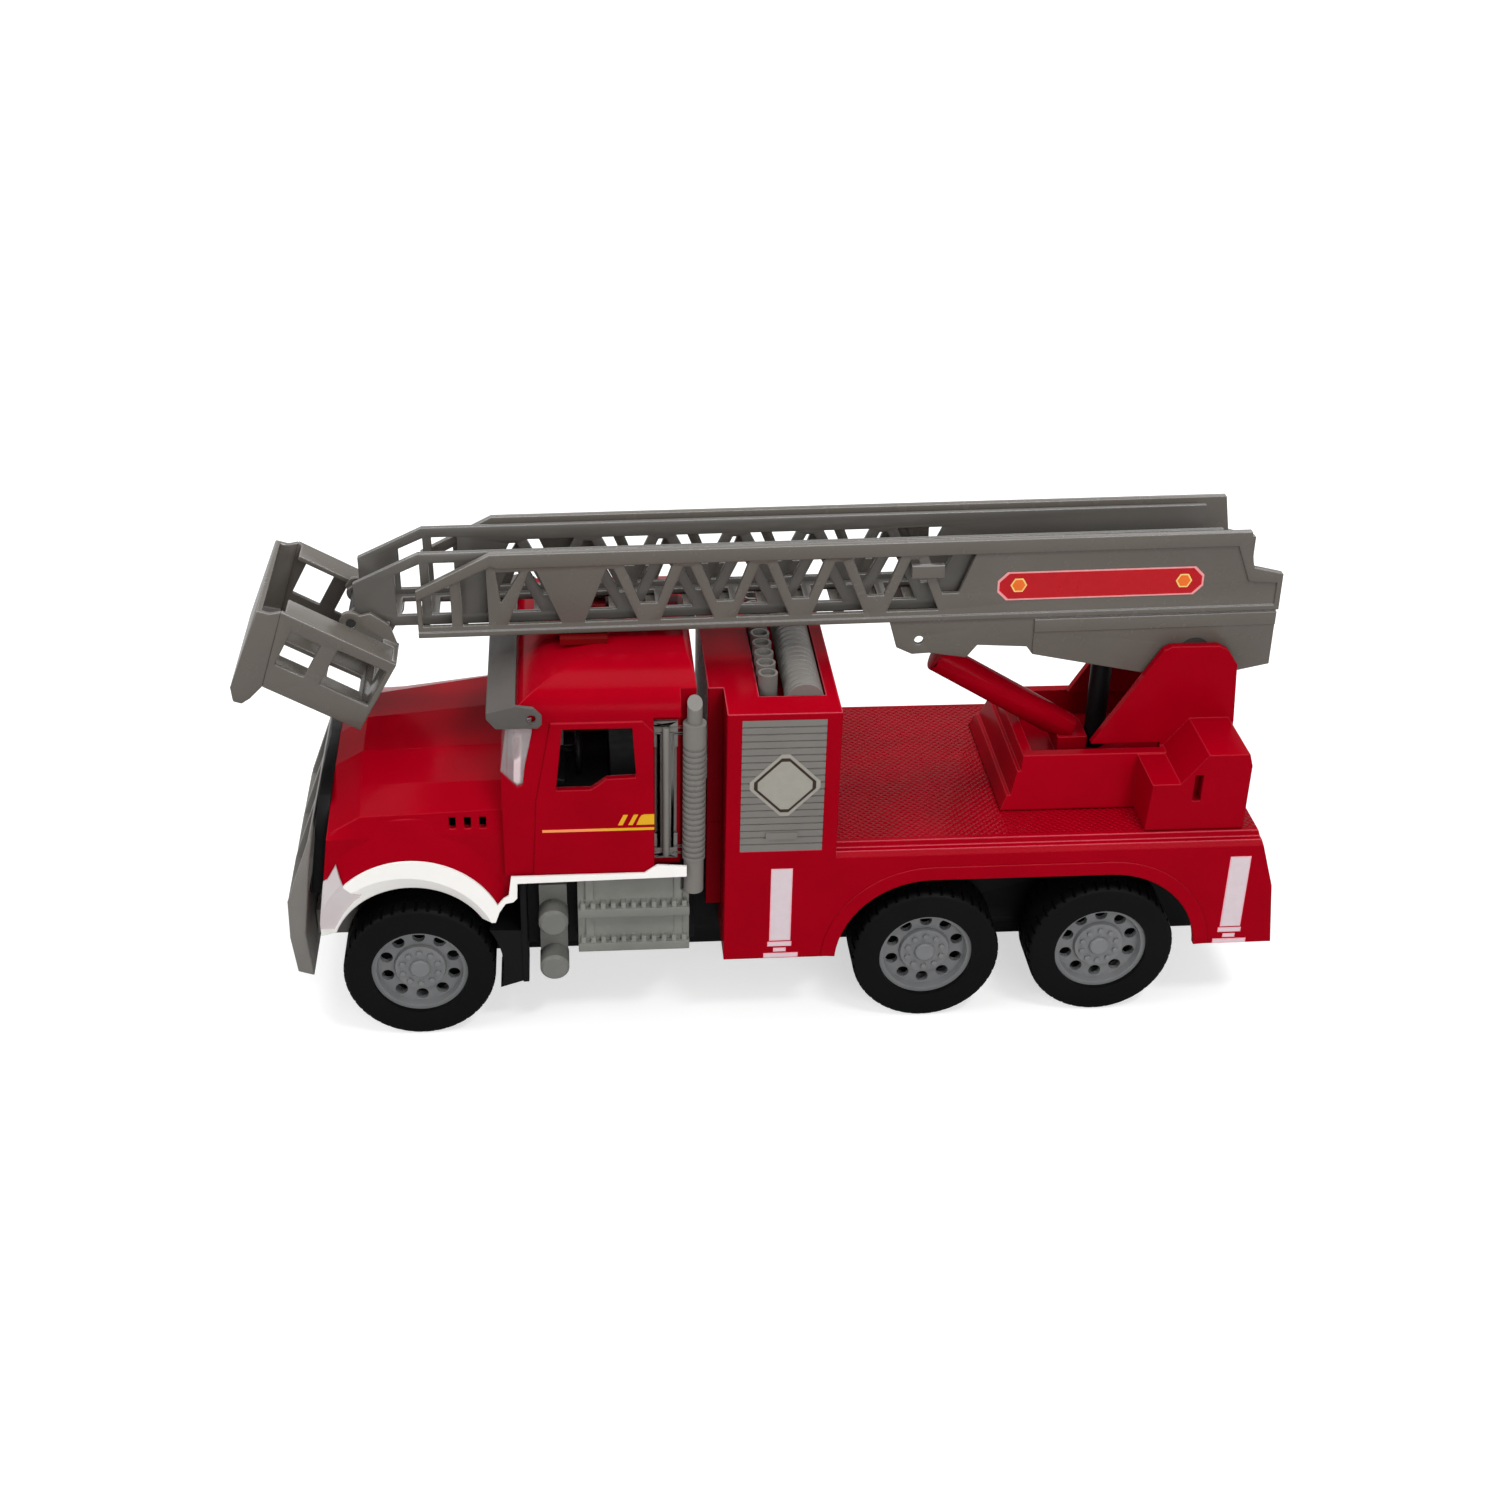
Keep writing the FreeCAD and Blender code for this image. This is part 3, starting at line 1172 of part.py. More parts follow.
def make_cab_interior():
    """Floor, bench, dashboard and steering wheel behind the glass."""
    wall, half = s.chassis_wall, s.cab_floor_half - 6.0
    floor_top = s.sill_height + wall
    front = back(s.glass_corner_back + s.seat_gap)
    rear = back(s.cab_rear_back - s.shell_wall - 5.0)
    base = box("cab_base", (rear, front), both_sides(half), (s.sill_height, floor_top))
    bench = box("bench", (rear, rear + 18), both_sides(half), (floor_top - 1, s.window_sill - 12))
    backrest = box("backrest", (rear, rear + 5), both_sides(half), (floor_top, s.window_sill + 12))
    dash = prism("dashboard", "XZ", [[
        (front - 9, s.window_sill - 12),
        (front - 9, s.window_sill - 1),
        (front, s.window_sill + 1),
        (front, floor_top - 1),
        (front - 4, floor_top - 1),
    ]], both_sides(half))
    column = rod("steering_column", "X", front - 13, s.hood_crown_half - 5, s.window_sill - 1, 1.2, sized(8))
    wheel = doc.addObject("Part::Torus", "steering_wheel")
    bind(wheel, "Radius1", 7)
    bind(wheel, "Radius2", 1)
    move(wheel, front - 13, s.hood_crown_half - 5, s.window_sill - 1, ACROSS, 90)
    spoke = box("spoke", (front - 13.6, front - 12.4), (s.hood_crown_half - 12, s.hood_crown_half + 2),
                (s.window_sill - 2, s.window_sill))
    piece("cab_interior", fuse("cab_interior", [base, bench, backrest, dash, column, wheel, spoke]))


make_cab_interior()


# ---- nose: grille and bumper -------------------------------------------------------------------


def make_grille():
    depth = s.grille_depth
    foot, top = back(-s.nose_ahead), back(-s.nose_ahead + s.nose_rake)
    knee = s.nose_bottom + s.nose_rake
    lean = s.nose_rake / (s.hood_front_height - knee)
    lower = foot - lean * (s.grille_bottom - knee)
    profile = prism("grille_profile", "XZ", [[
        (lower, s.grille_bottom),
        (lower + depth, s.grille_bottom),
        (top + depth, s.hood_front_height - 2.0),
        (top + depth - 1.2, s.hood_front_height),
        (top, s.hood_front_height),
    ]], both_sides(s.grille_half))
    arch = s.hood_front_height - s.hood_shoulder_drop + 1
    front = prism("grille_front", "YZ", [mirrored([
        (0, s.hood_front_height),
        (s.hood_crown_half - s.hood_crown_taper, s.hood_front_height - s.hood_crown_drop),
        (s.hood_shoulder_half - s.hood_shoulder_taper, arch + s.hood_crown_drop),
        (s.grille_half, arch - s.grille_frame * 2),
        (s.grille_half, s.grille_bottom),
    ])], (back(0), back(-s.bumper_ahead)))
    panel = common("grille_panel", [profile, front])
    opening = (s.grille_half - s.grille_frame) * 2
    pitch = opening / s.grille_slots
    slot = pitch - s.grille_bar
    slots = []
    for number in range(int(s.grille_slots.value)):
        left = s.grille_frame - s.grille_half + s.grille_bar / 2 + pitch * number
        slots.append(prism("grille_slot_%d" % number, "XZ", [[
            (lower + depth - s.grille_recess, s.grille_bottom + s.grille_frame),
            (lower + depth * 2, s.grille_bottom + s.grille_frame),
            (top + depth * 2, arch - s.grille_frame),
            (top + depth - s.grille_recess, arch - s.grille_frame),
        ]], (left, left + slot)))
    piece("grille", cut("grille", panel, slots))


make_grille()


def make_bumper():
    ahead = s.bumper_ahead
    wall = s.bumper_wall
    side = [
        (back(-ahead + 8.7), s.guard_top),
        (back(-ahead + 0.3), s.bumper_knee),
        (back(-ahead), s.bumper_knee - 13.0),
        (back(-ahead + 1.4), s.bumper_bottom + 1.6),
        (back(-ahead + 6.1), s.bumper_bottom),
        (back(-ahead + wall), s.bumper_bottom + 15.8),
        (back(-ahead + 6.1), s.bumper_knee - 1.0),
        (back(-ahead + 7.4), s.guard_top - 12.0),
        (back(-ahead + 9.2), s.guard_top - 1.0),
    ]
    solid = prism("bumper_solid", "XZ", [side], both_sides(s.bumper_half))
    rail = s.guard_rail
    gap = (s.bumper_half * 2 - rail * s.guard_posts) / (s.guard_posts - 1)
    windows = []
    for number in range(int(s.guard_posts.value) - 1):
        left = rail - s.bumper_half + (gap + rail) * number
        windows.append(box(
            "guard_window_%d" % number,
            (back(-ahead + 20), back(-ahead - 1)),
            (left, left + gap),
            (s.bumper_knee, s.guard_top - rail),
        ))
    # A step and a number-plate flat in the lower bar.
    flat = box(
        "bumper_flat",
        (back(-ahead + 0.8), back(-ahead - 1)),
        both_sides(s.bumper_half / 3),
        (s.bumper_bottom + 8, s.bumper_knee - 8),
    )
    mounts = box(
        "bumper_mounts",
        (back(-s.nose_ahead + s.nose_rake + s.shell_wall * 2), back(-ahead + wall + 1)),
        both_sides(s.chassis_half),
        (s.bumper_bottom + 3, s.bumper_bottom + 12),
    )
    bumper = cut("bumper_bar", solid, windows + [flat])
    piece("bumper", fuse("bumper", [bumper, mounts]))


make_bumper()


# ---- stacks, handles and tanks on the cab's sides ---------------------------------------------


def make_stack():
    x, y = back(s.stack_back), s.stack_centre
    ribbed = s.stack_radius + s.stack_rib
    lower = rod("stack_pipe", "Z", x, y, s.stack_bottom, s.stack_radius, s.stack_collar_top - s.stack_bottom)
    collar = rod("stack_collar", "Z", x, y, s.stack_guard_top, ribbed, s.stack_collar_top - s.stack_guard_top)
    ring_pitch = (s.stack_guard_top - s.stack_guard_bottom) / s.stack_ribs
    rings = []
    for number in range(int(s.stack_ribs.value)):
        low = s.stack_guard_bottom + ring_pitch * number
        rings.append(rod("stack_rib_%d" % number, "Z", x, y, low, ribbed, ring_pitch * 0.55))
    tip = rod("stack_tip", "Z", x, y, s.stack_collar_top, s.stack_tip_radius, s.stack_top - s.stack_collar_top)
    slice_off = box("stack_slant", (sized(-10), sized(10)), (sized(-10), sized(10)), (sized(0), sized(10)))
    move(slice_off, x - 7.1, y - 10, s.stack_top + 2.2, ALONG, -35)
    angled = cut("stack_tip_cut", tip, [slice_off])
    return fuse("stack_left", [lower, collar, angled] + rings)


def make_handle():
    x = back(s.handle_back)
    depth = s.cab_belt_half - s.handle_recess
    plates = []
    for low in (s.handle_bottom, s.handle_top - s.handle_plate_height):
        plates.append(box(
            "handle_plate_%d" % len(plates),
            (x - s.handle_plate / 2, x + s.handle_plate / 2),
            (depth, depth + 1.4),
            (low, low + s.handle_plate_height),
        ))
    y = depth + 1.4 + s.handle_stand
    bar = rod("handle_bar", "Z", x, y, s.handle_bottom + 1.6, s.handle_radius, s.handle_top - s.handle_bottom - 3.2)
    feet = []
    for height in (s.handle_bottom + 3.0, s.handle_top - 3.0):
        feet.append(rod("handle_foot_%d" % len(feet), "Y", x, depth + 1, height, s.handle_radius, y - depth - 1))
    return fuse("handle_left", plates + [bar] + feet)


def make_fuel_tank():
    """A tank with two serrated steps, strapped to the box beside the chassis."""
    ends = (back(s.tank_front_back + s.tank_length), back(s.tank_front_back))
    seat, face = s.step_box_half, s.tank_face
    body = new_body("fuel_tank")
    profile = [
        (seat, s.tank_bottom),
        (s.tread_face, s.tank_bottom),
        (s.tread_face, s.tank_bottom + s.tread_band),
        (face, s.tank_bottom + s.tread_band),
        (face, s.tread_high),
        (s.tread_face, s.tread_high),
        (s.tread_face, s.tread_high + s.tread_band),
        (face - 0.6, s.tread_high + s.tread_band),
        (face - 2.2, s.tank_top - 1.6, 2.4),
        (face - 4.2, s.tank_top),
        (seat, s.tank_top),
    ]
    pad(body, "tank", "YZ", [profile], ends)
    for name, low in (("lower", s.tank_bottom), ("upper", s.tread_high)):
        top = low + s.tread_band
        tooth = [
            (face - 1, top - 0.5),
            (s.tread_face - 0.3, top - 0.5),
            (s.tread_face - 0.9, top + s.tooth_height),
            (face - 1, top + s.tooth_height),
        ]
        first = pad(body, name + "_tooth", "YZ", [tooth], (ends[1] - s.tooth_length - 0.8, ends[1] - 0.8))
        pitch = (s.tank_length - s.tooth_length - 1.6) / (s.tread_teeth - 1)
        row_of(body, name + "_teeth", [first], "X", pitch, s.tread_teeth, back=True)
    strap = [
        (seat, s.tank_top + s.strap_rise),
        (face - 3.4, s.tank_top + s.strap_rise),
        (face - 1.4, s.tank_top - 1.2),
        (face + s.strap_rise - 0.3, s.tread_high),
        (face + s.strap_rise, s.tank_bottom - s.strap_rise),
        (seat, s.tank_bottom - s.strap_rise),
    ]
    for name, front in (("front", s.tank_front_back + 2.2), ("rear", s.tank_front_back + s.tank_length - 4.6)):
        pad(body, name + "_strap", "YZ", [strap], (back(front + s.strap_width), back(front)))
    bay = ("circle", back(s.stack_back), s.stack_centre, stack_reach)
    body.Tip = pocket(body, "stack_bay", "XY", [bay], (s.stack_bottom - s.stack_room, s.tank_top + 1))
    return body


def make_air_tanks():
    x = back(s.air_tank_back)
    half = s.air_bracket / 2
    bracket_face = s.air_tank_face - s.air_tank_length + 1.5
    bracket = box(
        "air_bracket",
        (x - half, x + half),
        (s.step_box_half, bracket_face),
        (s.air_tank_low, s.air_bracket_top),
    )
    tanks = []
    for height in (s.air_tank_high, s.air_tank_low):
        start = s.air_tank_face - s.air_tank_length
        tanks.append(rod("air_tank_%d" % len(tanks), "Y", x, start, height, s.air_tank_radius, s.air_tank_length - 1))
        tanks.append(cone("air_cap_%d" % len(tanks), "Y", x, s.air_tank_face - 1, height,
                          s.air_tank_radius, s.air_tank_radius - 0.8, sized(1)))
    return fuse("air_tanks_left", [bracket] + tanks)


for name, left in (
    ("exhaust_stack", make_stack()),
    ("grab_handle", make_handle()),
    ("fuel_tank", make_fuel_tank()),
    ("air_tanks", make_air_tanks()),
):
    piece(name + "_left", left)
    piece(name + "_right", mirror(name + "_right", left))


# ---- rear body: a hollow red moulding with the deck and the locker ------------------------------

deck_front = back(locker_front)
body_length = (back(body_rear), deck_front)


def rear_form(name, inset, bottom):
    """The rear body's outer form, or its hollow when it is set in by the wall."""
    half, deck = s.body_half - inset, s.deck_height - inset
    side = [
        (deck_front - inset, bottom),
        (deck_front - inset, deck),
        (back(deck_rear - inset), deck),
        (back(body_rear - 2.6 - inset), s.body_bottom + 21.0),
        (back(body_rear - inset), s.body_bottom + 0.5),
        (back(body_rear - inset), bottom),
    ]
    section = mirrored([
        (0, deck),
        (s.deck_half - inset, deck),
        (s.deck_half + 0.6 - inset, deck - s.deck_step),
        (s.deck_step_half - inset, deck - s.deck_step),
        (half, deck - s.deck_step * 2),
        (half, bottom),
    ])
    width = prism(name + "_side", "XZ", [side], both_sides(s.body_half))
    length = prism(name + "_section", "YZ", [section], body_length)
    return common(name + "_bed", [width, length])


def make_rear_body():
    wall, beyond = s.shell_wall, s.body_half + 1
    locker_ends = (back(locker_rear), deck_front)
    locker = box("locker", locker_ends, both_sides(s.body_half), (s.body_bottom, s.locker_height))
    column_ends = (deck_front - wall, back(column_front))
    column = box("column", column_ends, both_sides(s.column_half), (s.column_bottom, s.locker_height))
    outer = fuse("rear_outer", [rear_form("rear", sized(0), s.body_bottom), locker, column])
    locker_hollow = box(
        "locker_hollow",
        (locker_ends[0] + wall, locker_ends[1] - wall),
        both_sides(s.body_half - wall - s.shutter_recess),
        (s.body_bottom - 1, s.locker_height - s.recess_depth - wall),
    )
    hollow = fuse("rear_hollow", [rear_form("rear_inner", wall, s.body_bottom - 1), locker_hollow])
    column_hollow = box(
        "column_hollow",
        (column_ends[0] - wall, column_ends[1] - wall),
        both_sides(s.column_half - wall),
        (s.column_bottom - 1, s.locker_height - s.recess_depth - wall),
    )
    recess = box(
        "top_recess",
        (deck_front - s.recess_front - s.recess_length, deck_front - s.recess_front),
        both_sides(s.recess_half),
        (s.locker_height - s.recess_depth, s.locker_height + 1),
    )
    first, last = back(s.wheelbase), back(last_axle_back)
    openings = [
        hollow,
        column_hollow,
        recess,
        rod("arch_front_axle", "Y", first, -beyond, axle_z, s.rear_arch_radius, beyond * 2),
        rod("arch_rear_axle", "Y", last, -beyond, axle_z, s.rear_arch_radius, beyond * 2),
        box("arch_middle", (last, first), both_sides(beyond), (s.body_bottom - 1, axle_z + s.rear_arch_radius)),
        box(
            "tray_notch",
            (deck_front - wall * 2, back(column_front) + 1),
            both_sides(s.chassis_half + s.seat_gap),
            (s.body_bottom - 1, s.chassis_top + s.seat_gap),
        ),
    ]
    shutter_top = s.shutter_top
    shutter_ends = (deck_front - s.shutter_front - s.shutter_length, deck_front - s.shutter_front)
    for side in (-1, 1):
        openings.append(box(
            "shutter_pocket_%d" % side,
            shutter_ends,
            span(side, s.body_half - s.shutter_recess, beyond),
            (shutter_top - s.shutter_height, shutter_top),
        ))
    # A round boss on the deck carries the turntable.
    boss = rod("turn_boss", "Z", turn_x, 0, s.deck_height - wall, s.turn_boss_radius, wall + s.turn_boss_height)
    piece("rear_body", fuse("rear_body", [cut("rear_hollowed", outer, openings), boss]))

    low = shutter_top - s.shutter_height
    slat = s.shutter_height / s.shutter_slats
    body = new_body("shutter")
    skin, face = s.body_half - s.shutter_recess, s.body_half
    panel = [
        (shutter_ends[0], low),
        (shutter_ends[1], low),
        (shutter_ends[1], shutter_top),
        (shutter_ends[0], shutter_top),
    ]
    pad(body, "panel", "XZ", [panel], (skin, face))
    groove = pocket(body, "groove", "YZ", [[
        (face - s.slat_groove, low + slat),
        (face + 0.1, low + slat - 0.35),
        (face + 0.1, low + slat + 0.35),
    ]], (shutter_ends[0] - 1, shutter_ends[1] + 1))
    row_of(body, "grooves", [groove], "Z", slat, s.shutter_slats - 1)
    middle = (shutter_ends[0] + shutter_ends[1]) / 2
    grip = pad(body, "grip", "XZ", [[
        (middle - s.shutter_handle / 2, low + 4.4),
        (middle + s.shutter_handle / 2, low + 4.4),
        (middle + s.shutter_handle / 2, low + 6.6),
        (middle - s.shutter_handle / 2, low + 6.6),
    ]], (face - s.slat_groove, face + 0.6))
    body.Tip = grip
    piece("shutter_left", body)
    piece("shutter_right", mirror("shutter_right", body))


turn_x = back(s.wheelbase + s.turn_back)
make_rear_body()


def make_locker_gear():
    """A row of air bottles and a drum of hose in the locker's top recess."""
    floor = s.locker_height - s.recess_depth
    front = deck_front - s.recess_front
    x = front - s.bottle_radius - 0.4
    bottles = []
    for number in range(int(s.bottles.value)):
        y = s.bottle_pitch * (number - (s.bottles.value - 1) / 2)
        bottle = rod("bottle_%d" % number, "Z", x, y, floor, s.bottle_radius, s.bottle_top - floor)
        mouth = rod("mouth_%d" % number, "Z", x, y, s.bottle_top - 1.6, s.bottle_radius - 0.7, sized(2))
        bottles.append(cut("bottle_cup_%d" % number, bottle, [mouth]))
    tray = box("bottle_tray", (x - s.bottle_radius, x + s.bottle_radius), both_sides(s.recess_half - s.seat_gap),
               (floor, floor + 3.0))
    bottles.append(tray)
    piece("air_bottles", fuse("air_bottles", bottles))

    body = new_body("hose_drum")
    drum_x = front - s.recess_length + s.drum_radius + s.seat_gap
    pitch = s.drum_half * 2 / s.drum_turns
    profile = [
        (-s.drum_half, 0),
        (s.drum_half, 0),
        (s.drum_half, s.drum_radius),
        (-s.drum_half, s.drum_radius),
    ]
    spin(body, "drum", [profile])
    outer = s.drum_radius + 0.2
    groove = body.newObject("PartDesign::Groove", "turn")
    groove.Profile = body_sketch(body, "turn_outline", "YZ", [[
        (pitch / 2 - s.drum_half, s.drum_radius - s.drum_groove),
        (pitch / 2 - s.drum_half + 0.5, outer),
        (pitch / 2 - s.drum_half - 0.5, outer),
    ]])
    groove.ReferenceAxis = (body_plane(body, "Y_Axis"), [""])
    groove.Angle = 360
    row_of(body, "turns", [groove], "Y", pitch, s.drum_turns)
    piece("hose_drum", move(body, x=drum_x, z=floor + s.drum_radius))


make_locker_gear()


# ---- turntable ---------------------------------------------------------------------------------

pivot_x = turn_x - s.pivot_back
cheek_inner = s.ladder_half + s.cradle_rise + s.cheek_gap
pin_half = cheek_inner + s.cheek_thickness - s.pin_cover


def make_turntable():
    base = s.deck_height + s.turn_gap
    top = base + s.plinth_height
    front, rear = turn_x + s.plinth_front, turn_x - s.plinth_rear
    slant = s.plinth_slant
    side = [
        (front, base),
        (front - slant * 0.3, base + s.plinth_height * 0.28),
        (front - slant * 0.45, base + s.plinth_height * 0.28),
        (front - slant * 0.75, base + s.plinth_height * 0.72),
        (front - slant * 0.9, base + s.plinth_height * 0.72),
        (front - slant, top),
        (rear, top),
        (rear, base),
    ]
    section = mirrored([(0, top), (s.plinth_top_half, top), (s.plinth_half, base)])
    plinth = common("plinth", [
        prism("plinth_side", "XZ", [side], both_sides(s.plinth_half)),
        prism("plinth_section", "YZ", [section], (rear, front)),
    ])
    cheek = [
        (pivot_x + 31.0, top - 1),
        (pivot_x + 15.8, s.cheek_top - 10.0),
        (pivot_x + 10.4, s.cheek_top - 1.2),
        (pivot_x + 8.0, s.cheek_top),
        (pivot_x - 6.6, s.cheek_top),
        (pivot_x - 9.6, s.cheek_top - 1.6),
        (pivot_x - 12.9, s.cheek_top - 6.4),
        (rear, s.cheek_top - 26.0),
        (rear, top - 1),
    ]
    cheeks = [
        prism("cheek_%d" % side_of, "XZ", [cheek], span(side_of, cheek_inner, cheek_inner + s.cheek_thickness))
        for side_of in (1, -1)
    ]
    eyes = rod("pin_eyes", "Y", pivot_x, -pin_half, s.pivot_height, s.pivot_radius, pin_half * 2)
    low, high = base + s.console_low, base + s.console_high
    console_x = turn_x - s.console_front
    console = prism("console", "XZ", [[
        (console_x, base),
        (console_x - 0.8, low),
        (console_x - 9.5, low),
        (console_x - 17.2, high),
        (turn_x - s.console_rear + 1.2, high),
        (turn_x - s.console_rear, high - 4),
        (turn_x - s.console_rear, base),
    ]], (cheek_inner, s.console_face))
    console_slot = box(
        "console_slot",
        (console_x - 16.2, console_x - 16.2 + s.console_slot),
        (s.console_face - 4, s.console_face + 1),
        (low - 6, low + 3),
    )
    basin = box(
        "basin",
        (pivot_x + 8.0, front - slant - s.basin_wall),
        both_sides(s.plinth_top_half - s.basin_wall),
        (top - s.basin_depth, top + 1),
    )
    rear_basin = box(
        "rear_basin",
        (rear + s.basin_wall, pivot_x + 9.0),
        both_sides(cheek_inner),
        (top - s.basin_depth, top + 1),
    )
    boss_hole = rod("boss_hole", "Z", turn_x, 0, base - 1, s.turn_boss_radius + s.running_gap,
                    s.turn_boss_height + 1 + s.turn_gap)
    solid = fuse("turntable_solid", [plinth, cut("console_slotted", console, [console_slot])] + cheeks)
    carved = cut("turntable_carved", solid, [basin, rear_basin, boss_hole, eyes])
    foot_x = turn_x + s.strut_foot
    floor = top - s.basin_depth
    foot_z = floor + s.strut_foot_rise
    block = box(
        "strut_block",
        (foot_x - s.strut_block_length / 2, foot_x + s.strut_block_length / 2),
        both_sides(s.strut_block / 2),
        (floor - 1, foot_z),
    )
    piece("turntable", fuse("turntable", [carved, block]))

    strut = rod("lift_strut", "X", 0, 0, 0, s.strut_radius, s.strut_length)
    barrel = move(strut, foot_x, 0, foot_z, ACROSS, 90 - s.strut_angle)
    trim_block = box(
        "strut_seat",
        (foot_x - s.strut_block, foot_x + s.strut_block),
        both_sides(s.strut_block),
        (foot_z - s.strut_block, foot_z),
    )
    piece("lift_strut", cut("lift_strut", barrel, [trim_block]))
    post = rod("support_post", "Z", turn_x + s.post_back, 0, floor, s.post_radius, s.post_top - floor)
    piece("support_post", post)


make_turntable()


# ---- ladder: drawn level from the lift pivot, then laid on its droop -----------------------------


def on_ladder(solid):
    """Puts a piece drawn from the lift pivot where the resting ladder lies."""
    return move(solid, x=pivot_x, z=s.pivot_height, axis=ACROSS, angle=s.droop)


def truss_windows(bottom, top, first):
    """The low opening that starts at a front corner, and the high one that hangs behind it."""
    low, high = bottom + s.truss_low, top - s.truss_high
    base, tip = s.truss_base, s.truss_tip / 2
    stand = first - base / 2
    low_window = [(first - base, low), (first, low), (stand + tip, high), (stand - tip, high)]
    hang = stand - s.truss_pitch / 2
    hang_low, hang_high = low + s.truss_hang, high + s.truss_tip / 2
    high_window = [
        (hang - s.truss_foot / 2, hang_low),
        (hang + s.truss_foot / 2, hang_low),
        (hang + s.truss_head / 2, hang_high),
        (hang - s.truss_head / 2, hang_high),
    ]
    return low_window, high_window


def make_ladder_rail():
    bottom, top = s.ladder_bottom, s.ladder_bottom + s.rail_height
    inner, outer = s.ladder_half - s.rail_thickness, s.ladder_half
    front = s.ladder_front
    body = new_body("ladder_rail")
    outline = [
        (-s.ladder_heel, bottom),
        (front, bottom),
        (front, top - s.ladder_tip_drop),
        (front - s.ladder_tip_length, top),
        (-s.ladder_rear, top),
        (-s.ladder_rear - s.heel_lean, top - s.heel_drop + 2.3),
        (-s.ladder_heel, top - s.heel_drop),
    ]
    low = bottom + s.truss_low
    posts = [
        [(front - 9.9, low), (front - 1.4, low), (front - 1.4, top - 13.4), (front - 9.9, top - 9.2)],
        [(front - 20.6, low), (front - 13.0, low), (front - 13.0, top - 7.7), (front - 20.6, top - 4.2)],
        [(front - 24.4, low + 6.8), (front - 23.4, top - s.truss_high), (front - 30.6, top - s.truss_high)],
    ]
    pad(body, "rail", "XZ", [outline] + posts, (inner, outer))
    low_window = truss_windows(bottom, top, s.truss_first)[0]
    lows = pocket(body, "low_window", "XZ", [low_window], (inner - 1, outer + 1))
    row_of(body, "low_windows", [lows], "X", s.truss_pitch, s.truss_count, back=True)
    high_window = truss_windows(bottom, top, s.truss_first - s.truss_pitch)[1]
    highs = pocket(body, "high_window", "XZ", [high_window], (inner - 1, outer + 1))
    row_of(body, "high_windows", [highs], "X", s.truss_pitch, s.truss_count - 1, back=True)
    rise, flange, heel = s.flange_rise, s.foot_flange, -s.ladder_heel
    foot = [(heel, bottom), (front, bottom), (front, bottom + flange), (heel, bottom + flange)]
    head = [
        (-s.ladder_rear, top - s.head_flange),
        (front - s.ladder_tip_length - 2.2, top - s.head_flange),
        (front - s.ladder_tip_length - 0.4, top - 3.6),
        (front, top - s.ladder_tip_drop - 3.0),
        (front, top - s.ladder_tip_drop),
        (front - s.ladder_tip_length, top),
        (-s.ladder_rear, top),
    ]
    border_x, border_z = -s.ladder_rear - s.heel_lean, top - s.heel_drop
    tail = [
        (-s.ladder_rear + s.tail_border, top - s.head_flange),
        (-s.ladder_rear, top - s.head_flange),
        (border_x, border_z + 2.3),
        (heel, border_z),
        (heel, bottom + flange),
        (heel + s.heel_border, bottom + flange),
        (heel + s.heel_border, border_z - 2.9),
        (border_x + 1.2, border_z - 2.2),
    ]
    tab_low = bottom + s.tab_height
    tab = [
        (s.tab_front - s.rail_tab, tab_low),
        (s.tab_front, tab_low),
        (s.tab_front, tab_low + 4.0),
        (s.tab_front - s.rail_tab, tab_low + 4.0),
    ]
    pad(body, "foot_flange", "XZ", [foot], (outer - 0.2, outer + rise))
    pad(body, "head_flange", "XZ", [head], (outer - 0.2, outer + rise))
    pad(body, "tail_border", "XZ", [tail], (outer - 0.2, outer + rise))
    body.Tip = pad(body, "tab", "XZ", [tab], (outer - 0.8, outer + rise * 2))
    return body


